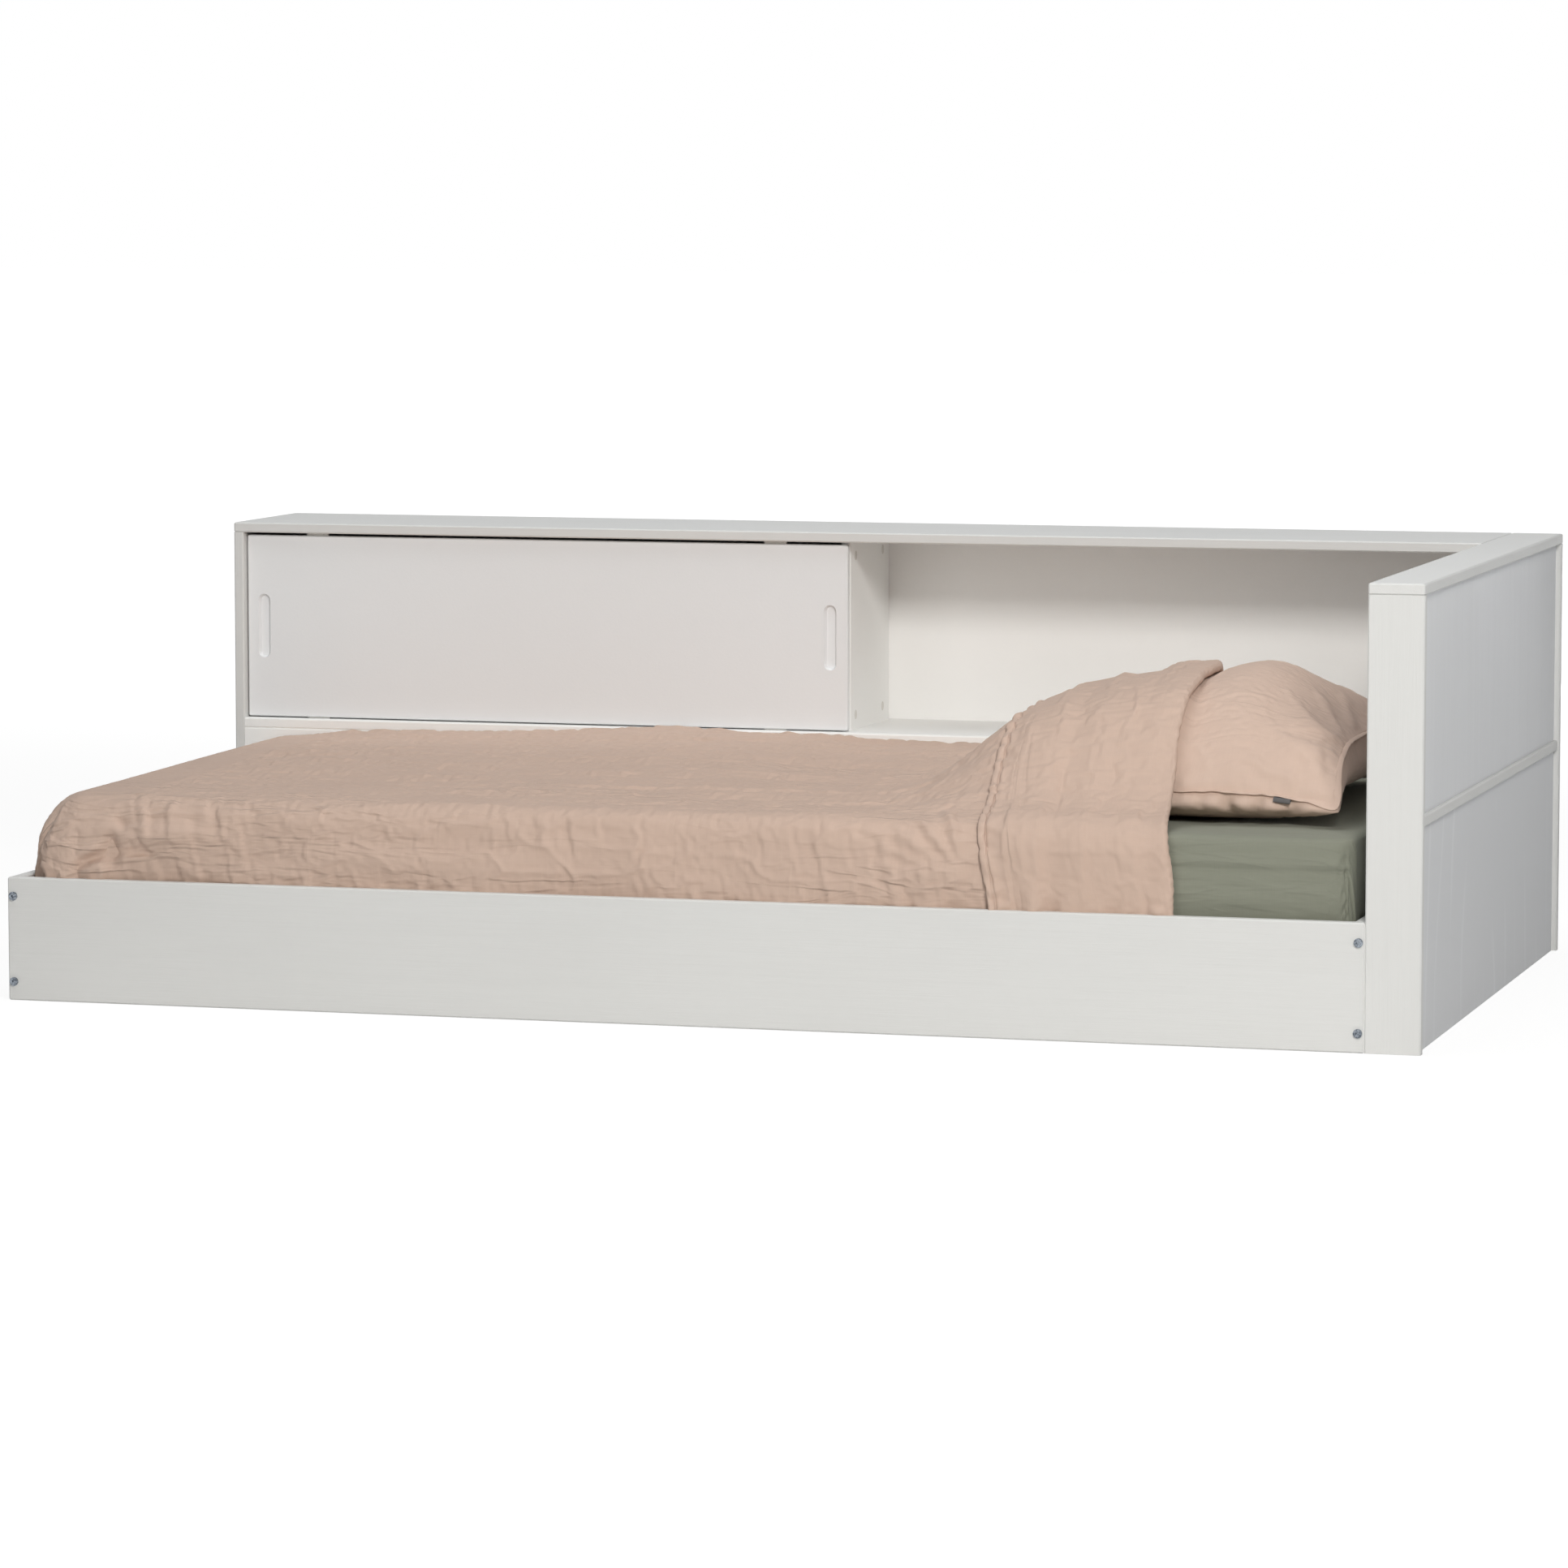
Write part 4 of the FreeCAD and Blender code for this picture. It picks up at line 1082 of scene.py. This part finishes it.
def pillow_panels():
    """Points of the upper and the lower panel, which share their seam all round."""
    (left, right), (near, far) = pillow_x, pillow_y
    a, b = grid(*(np.linspace(-1, 1, round((high - low) / pillow_grid)) for low, high in (pillow_x, pillow_y)))
    x = (left + right) / 2 + a * ((right - left) / 2 - pillow_draw * (1 - b ** 4))
    y = (near + far) / 2 + b * ((far - near) / 2 - pillow_draw * (1 - a ** 4))
    end_seam = line_through(x, pillow_end_seam, 0.01) + 0.0022 * ripples(x, x * 0, 0.05, 57)
    crest = line_through(x, pillow_top, 0.012)
    sharp = 2.2 + 2.8 * ease(a, 0.6, 1.0)
    dome = (1 - abs(b) ** sharp) ** 0.8
    top = end_seam + (crest - end_seam) * dome
    side_seam = np.where(a > 0, top[-1:], top[:1])
    share_x = np.clip((1 - abs(a)) * (right - left) / 2 / belly_runs[0], 0, 1)
    share_y = np.clip((1 - abs(b)) * (far - near) / 2 / belly_runs[1], 0, 1)
    rim = end_seam + (side_seam - end_seam) * ease(share_y, 0, 1) * (1 - share_x)
    belly = np.sqrt(1 - (1 - np.minimum(share_x, share_y)) ** 2)
    bottom = np.minimum(rim - (rim - bed_top) * belly, top)
    room = duvet_height(x, y) - pressed_thickness - cover_gap
    touching = np.maximum(room, bottom + cover_gap)
    own = np.maximum(ease(x - fold_line(y), *fold_touch), 1 - ease(dome, 0.0, 0.25))
    top = touching + (top - touching) * own
    for side in (0, -1):
        bottom[side] = top[side]
        bottom[:, side] = top[:, side]
    upper, lower = stack(x, y, top), stack(x, y, bottom)
    sunk = np.clip((rim - bottom) / np.maximum(rim - bed_top, least_height), 0, 1)
    at_end, at_side = np.sign(a) * ease(abs(a), *near_edge), np.sign(b) * ease(abs(b), *near_edge)
    swell = np.sin(math.pi * sunk)
    folded = 1 - 1.1 * crumples(x + bottom * 0.9, bottom * 0.7, 0.05, 55)
    lower[..., 0] += under_bulge * swell * at_end * ease(x, fold_cover, fold_cover + 0.1)
    lower[..., 1] += under_bulge * swell * folded * at_side
    for x_seam, x_bed, width, depth in under_folds:
        lower[..., 1] -= depth * hill(x, x_seam + (x_bed - x_seam) * sunk, width) * swell * at_side
    return upper + normals(upper) * pillow_relief(x, y)[..., None], lower


pillow_upper, pillow_lower = pillow_panels()
pillow_piece = sew("pillow_case", pillow_upper, pillow_lower, pillow_upper[..., :2])
print("pillow:", len(pillow_piece.data.vertices), "points")

# %% [markdown]
# The seam's two layers stand out as a narrow lip, so a ribbon with small puckers follows it. At the near right
# corner the lip is longer and hangs down. A folded tag without any print is sewn into the seam.

# %% Pillow seam and tag
lip_section = [(-0.004, 0.0012), (0.0035, 0.0014), (0.0065, 0.0006), (0.0065, -0.0008), (0.0035, -0.0016),
               (-0.004, -0.0016), (-0.004, 0.0012)]
lip_droop = 0.0012
ear_reach = 0.7
ear_droop = 0.005
ear_width = 0.035
lip_puckers = [(0.011, 61, 0.0018), (0.05, 62, 0.0016)]
smooth_rounds = 4
tag_x = (0.820, 0.845)
tag_points = 7
tag_sink = (0.004, 0.0015)
tag_path = [(0.002, 0.000), (-0.005, -0.001), (-0.0085, -0.004), (-0.0092, -0.0062), (-0.0085, -0.0072),
            (-0.005, -0.0055), (0.002, -0.0030)]


def seam_ring():
    """The seam's points in order round the pillow, and the outward way at each of them."""
    ring = np.concatenate([pillow_upper[:-1, 0], pillow_upper[-1, :-1], pillow_upper[:0:-1, -1],
                           pillow_upper[0, :0:-1]])
    ahead = np.roll(ring, -1, axis=0) - np.roll(ring, 1, axis=0)
    out = stack(ahead[:, 1], -ahead[:, 0])
    for _ in range(smooth_rounds):
        out = unit(out)
        out = (np.roll(out, 1, axis=0) + 2 * out + np.roll(out, -1, axis=0)) / 4
    return ring, out


def seam_lip():
    """The ribbon that stands out along the seam."""
    ring, out = seam_ring()
    along = np.concatenate([[0], np.cumsum(np.linalg.norm(np.diff(ring, axis=0), axis=1))])
    near_right = np.array([pillow_x[1], pillow_y[0]])
    ear = hill(np.linalg.norm(ring[:, :2] - near_right, axis=1), 0.0, ear_width)
    reach, rise = np.array(lip_section).T
    s, far_out = grid(along, reach)
    far_out = far_out * (1 + ear_reach * ear)[:, None]
    pucker = sum(ripples(s, s * 0, size, seed) * height for size, seed, height in lip_puckers)
    points = np.empty((*s.shape, 3))
    points[..., :2] = ring[:, None, :2] + out[:, None, :] * far_out[..., None]
    share = np.maximum(far_out, 0) / reach.max()
    points[..., 2] = ring[:, None, 2] + rise + share * (pucker - lip_droop - ear_droop * ear[:, None])
    return cloth_piece("seam_lip", points, stack(s, far_out), closed=True)


def seam_tag():
    """A small folded tag that hangs from the near seam."""
    ring, _ = seam_ring()
    x = np.linspace(*tag_x, tag_points)
    side = ring[:len(pillow_upper) - 1]
    path_y, path_z = np.array(tag_path).T
    near = np.interp(x, side[:, 0], side[:, 1])[:, None] - tag_sink[0]
    seam = np.interp(x, side[:, 0], side[:, 2])[:, None] - tag_sink[1]
    points = stack(x[:, None] + 0 * path_y, near + path_y, seam + path_z)
    return cloth_piece("seam_tag", points, points[..., :2])


tag = seam_tag()
lip = seam_lip()
print("lip:", len(lip.data.vertices), "points; tag:", len(tag.data.vertices), "points")

# %% [markdown]
# Then the filling presses both panels out, while the seam holds them, which pulls the small folds along it. The
# part under the duvet stays where it is, and the underside stays on the sheet.

# %% Stuff the pillow
pillow_hold = np.full(len(pillow_piece.data.vertices), 0.6)
pillow_points = points_of(pillow_piece.data)
to_seam = np.linalg.norm(pillow_points[:, None, :2] - seam_ring()[0][None, :, :2], axis=2).min(axis=1)
pillow_hold[pillow_points[:, 0] < fold_cover + 0.02] = 1.0
pillow_hold[pillow_points[:, 2] < bed_top + 0.004] = 1.0
pillow_hold[to_seam < 1e-5] = 1.0
settle(pillow_piece, 0.05, pillow_hold, 0.010, 0.3, pressure=1.5)
pillow_piece = join([pillow_piece, lip])
print("pillow with its lip:", len(pillow_piece.data.vertices), "points")

# %% [markdown]
# ## Fabrics
# A woven cloth is never one flat tone: threads differ in thickness, the crossings make a fine relief, and washing
# leaves clouds. The weave is drawn on the cloth's own flat coordinates, so it runs with every fold. Linen also
# keeps fine creases, which lie level on the bed and run down the slope on the turned-back end.

# %% Fabric finishes
yarn_depth = 0.00025
stitch_width = (0.0006, 0.0024)
# Fine creases: stretch of the cloth, turn, size and sharpness.
level_lines = ((0.16, 1.0, 1.0), 0.08, 0.030, 0.11)
upright_lines = ((1.0, 0.12, 1.0), 0.08, 0.030, 0.16)
rising_lines = ((0.25, 1.0, 1.0), 0.45, 0.036, 0.10)
falling_lines = ((0.25, 1.0, 1.0), -0.35, 0.036, 0.10)


def creases(flat, stretch, turn, size, sharp):
    """Thin ridges from 0 to 1 on the flat cloth, in some places only, drawn out along one way."""
    drawn = flat.node("ShaderNodeMapping", {}, {"Vector": flat, "Rotation": (0, 0, turn), "Scale": stretch})
    away = abs(noise(drawn, size, detail=2.0, distortion=0.5) - 0.5)
    patches = between(noise(drawn, size * 4, detail=1.0), 0.42, 0.62)
    return (1 - between(away, 0.0, sharp)) * patches


def yarns(flat, slub, stretch):
    """Thicker and thinner yarns about slub metres apart, drawn out along one way of the cloth."""
    drawn = flat.node("ShaderNodeMapping", {}, {"Vector": flat, "Scale": stretch})
    return noise(drawn, slub, detail=4.0, roughness=0.7)


def woven(name, colour, dull, slub, crushed):
    """A plain weave with yarns about slub metres apart, a cloudy tone, and creases crushed metres high.

    Beyond flap_shift on the flat cloth lies a turned-back end: it creases down its slope and has a stitched hem,
    whose line is darkened as painted shade.
    """
    material, start = finish(name, {**CLOTH_GLOSS, "Sheen Weight": 0.08, "Sheen Roughness": 0.5})
    flat = start.node("ShaderNodeUVMap", {"uv_map": "Weave"}, {})
    long_yarns, cross_yarns = yarns(flat, slub, (1.0, 0.05, 1.0)), yarns(flat, slub, (0.05, 1.0, 1.0))
    clouds = noise(flat, 0.2, detail=3.0)
    level, upright, rising, falling = (
        creases(flat, *lines) for lines in (level_lines, upright_lines, rising_lines, falling_lines)
    )
    run, side = (start.node("ShaderNodeSeparateXYZ", {}, {0: flat}, axis) for axis in "XY")
    turned_back = between(run, flap_shift / 2, flap_shift / 2 + 0.1)
    # The stitched line on the turned-back end is sunk as a bump and darkened in colour: painted shade in its
    # groove.
    stitch_groove_and_shade = 1 - between(abs(run - (flap_shift + stitch_run)), *stitch_width)
    on_top = between(side, y_flat - 0.075, y_flat - 0.02)
    lying = (level + rising * 0.8 + falling * 0.7 + upright * 0.2) * (1 - on_top * 0.55)
    crushing = turned_back * upright * 0.7 + (1 - turned_back) * lying
    tone = long_yarns * 0.35 + cross_yarns * 0.25 + clouds * 0.4 - stitch_groove_and_shade * 0.35
    weave = (long_yarns + cross_yarns * 0.7) * (yarn_depth / crushed)
    connect(
        start, colour=mottled(tone, colour, dull),
        roughness=0.8 + long_yarns * 0.12,
        height=weave + crushing - stitch_groove_and_shade * 0.3, depth=crushed,
    )
    return material


def ribbed(name, colour, pitch, relief):
    """A stout woven cover: ribs across the cloth a pitch apart, each with a shaded hollow."""
    material, start = finish(name, {**CLOTH_GLOSS, "Roughness": 0.85})
    flat = start.node("ShaderNodeUVMap", {"uv_map": "Weave"}, {})
    ribs = bands(flat, math.tau / 20 / pitch, 0.4, 1.0, 1.0, wave_profile="SIN")
    threads = noise(flat, pitch / 3)
    connect(start, colour=shade(ribs * 0.7 + threads * 0.3, darker(colour, 0.82), colour),
            height=ribs + threads * 0.4, depth=relief)
    return material


sheet_cloth = woven("sage_cotton", paint(140, 142, 128), 0.93, 0.0016, 0.0007)
duvet_cloth = woven("rose_linen", paint(206, 181, 165), 0.94, 0.0022, 0.0022)
pillow_cloth = woven("rose_linen_pillow", paint(213, 188, 172), 0.95, 0.0022, 0.0012)
tag_cloth = ribbed("grey_tape", paint(112, 110, 110), 0.0008, 0.0002)
tape_cloth = ribbed("webbing", paint(230, 228, 222), 0.002, 0.0004)
ticking = ribbed("ticking", paint(236, 234, 229), 0.03, 0.002)
fabrics = (sheet_cloth, duvet_cloth, pillow_cloth, tag_cloth, tape_cloth, ticking)
print("fabrics:", [made.name for made in fabrics])

# %% [markdown]
# ## Dressing the frame
# Every board takes the finish that belongs to it. Where no other finish is named, it is white paint with the grain
# along the board's longest side.

# %% Finish the frame
def grain_axis(node):
    """The axis along which a board is longest, which is the way its grain runs."""
    low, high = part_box(node)
    sides = high - low
    return "XYZ"[max(range(3), key=lambda axis: sides[axis])]


def wear(piece, material):
    """Gives a piece one finish in place of those it had."""
    piece.data.materials.clear()
    piece.data.materials.append(material)


special = {"door": door_paint}
for material, nodes in (
    (back_paint_and_painted_bounce, ("case_back_left", "case_back_right")),
    (upper_panel, ("outer_upper_panel", "inner_upper_panel")),
    (lower_panel, ("outer_lower_panel", "inner_lower_panel")),
    (zinc, ("cam_bolts", "connector_bolts", "corner_bolts")),
    (plastic, ("cam_locks", "door_glides", "door_guides")),
    (woods["Y"], ("head_bottom_rail", "head_middle_rail", "head_top_rail", *slat_nodes)),
    (woods["X"], ("front_ledger", "rear_ledger")),
):
    special.update({node: material for node in nodes})
# The shelf, the divider and the lower front panel take the whiter lining copy of the board paint, as painted
# light.
for node in ("case_shelf", "case_divider", "case_front_panel"):
    special[node] = linings_painted_light[grain_axis(node)]
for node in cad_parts:
    wear(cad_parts[node], special.get(node) or boards[grain_axis(node)])
print("finishes in use:", len({made.name for made in special.values()}) + len(boards))

# %% [markdown]
# ## Dressing the bed
# Each soft piece takes its cloth, rides on the bed's frame and stands in for its plain solid in the packed model.

# %% Dress the bed
soft_pieces = (
    (mattress, ticking, ["mattress"], "ticking"),
    (tapes[0], tape_cloth, ["slat_tapes"], "webbing"),
    (tapes[1], tape_cloth, ["slat_tapes"], "webbing"),
    (sheet, sheet_cloth, ["fitted_sheet"], "sheet_fabric"),
    (duvet_piece, duvet_cloth, ["duvet"], "duvet_fabric"),
    (pillow_piece, pillow_cloth, ["pillow"], "pillow_fabric"),
    (tag, tag_cloth, [], "webbing"),
)
for piece, material, nodes, slot in soft_pieces:
    wear(piece, material)
    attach(piece, "frame")
    if nodes:
        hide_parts(*nodes)
for piece in (duvet_piece, pillow_piece):
    smooth = piece.modifiers.new("smooth", "SUBSURF")
    smooth.levels = 1
    smooth.render_levels = 1
print("soft pieces dressed:", len(soft_pieces))

# %% [markdown]
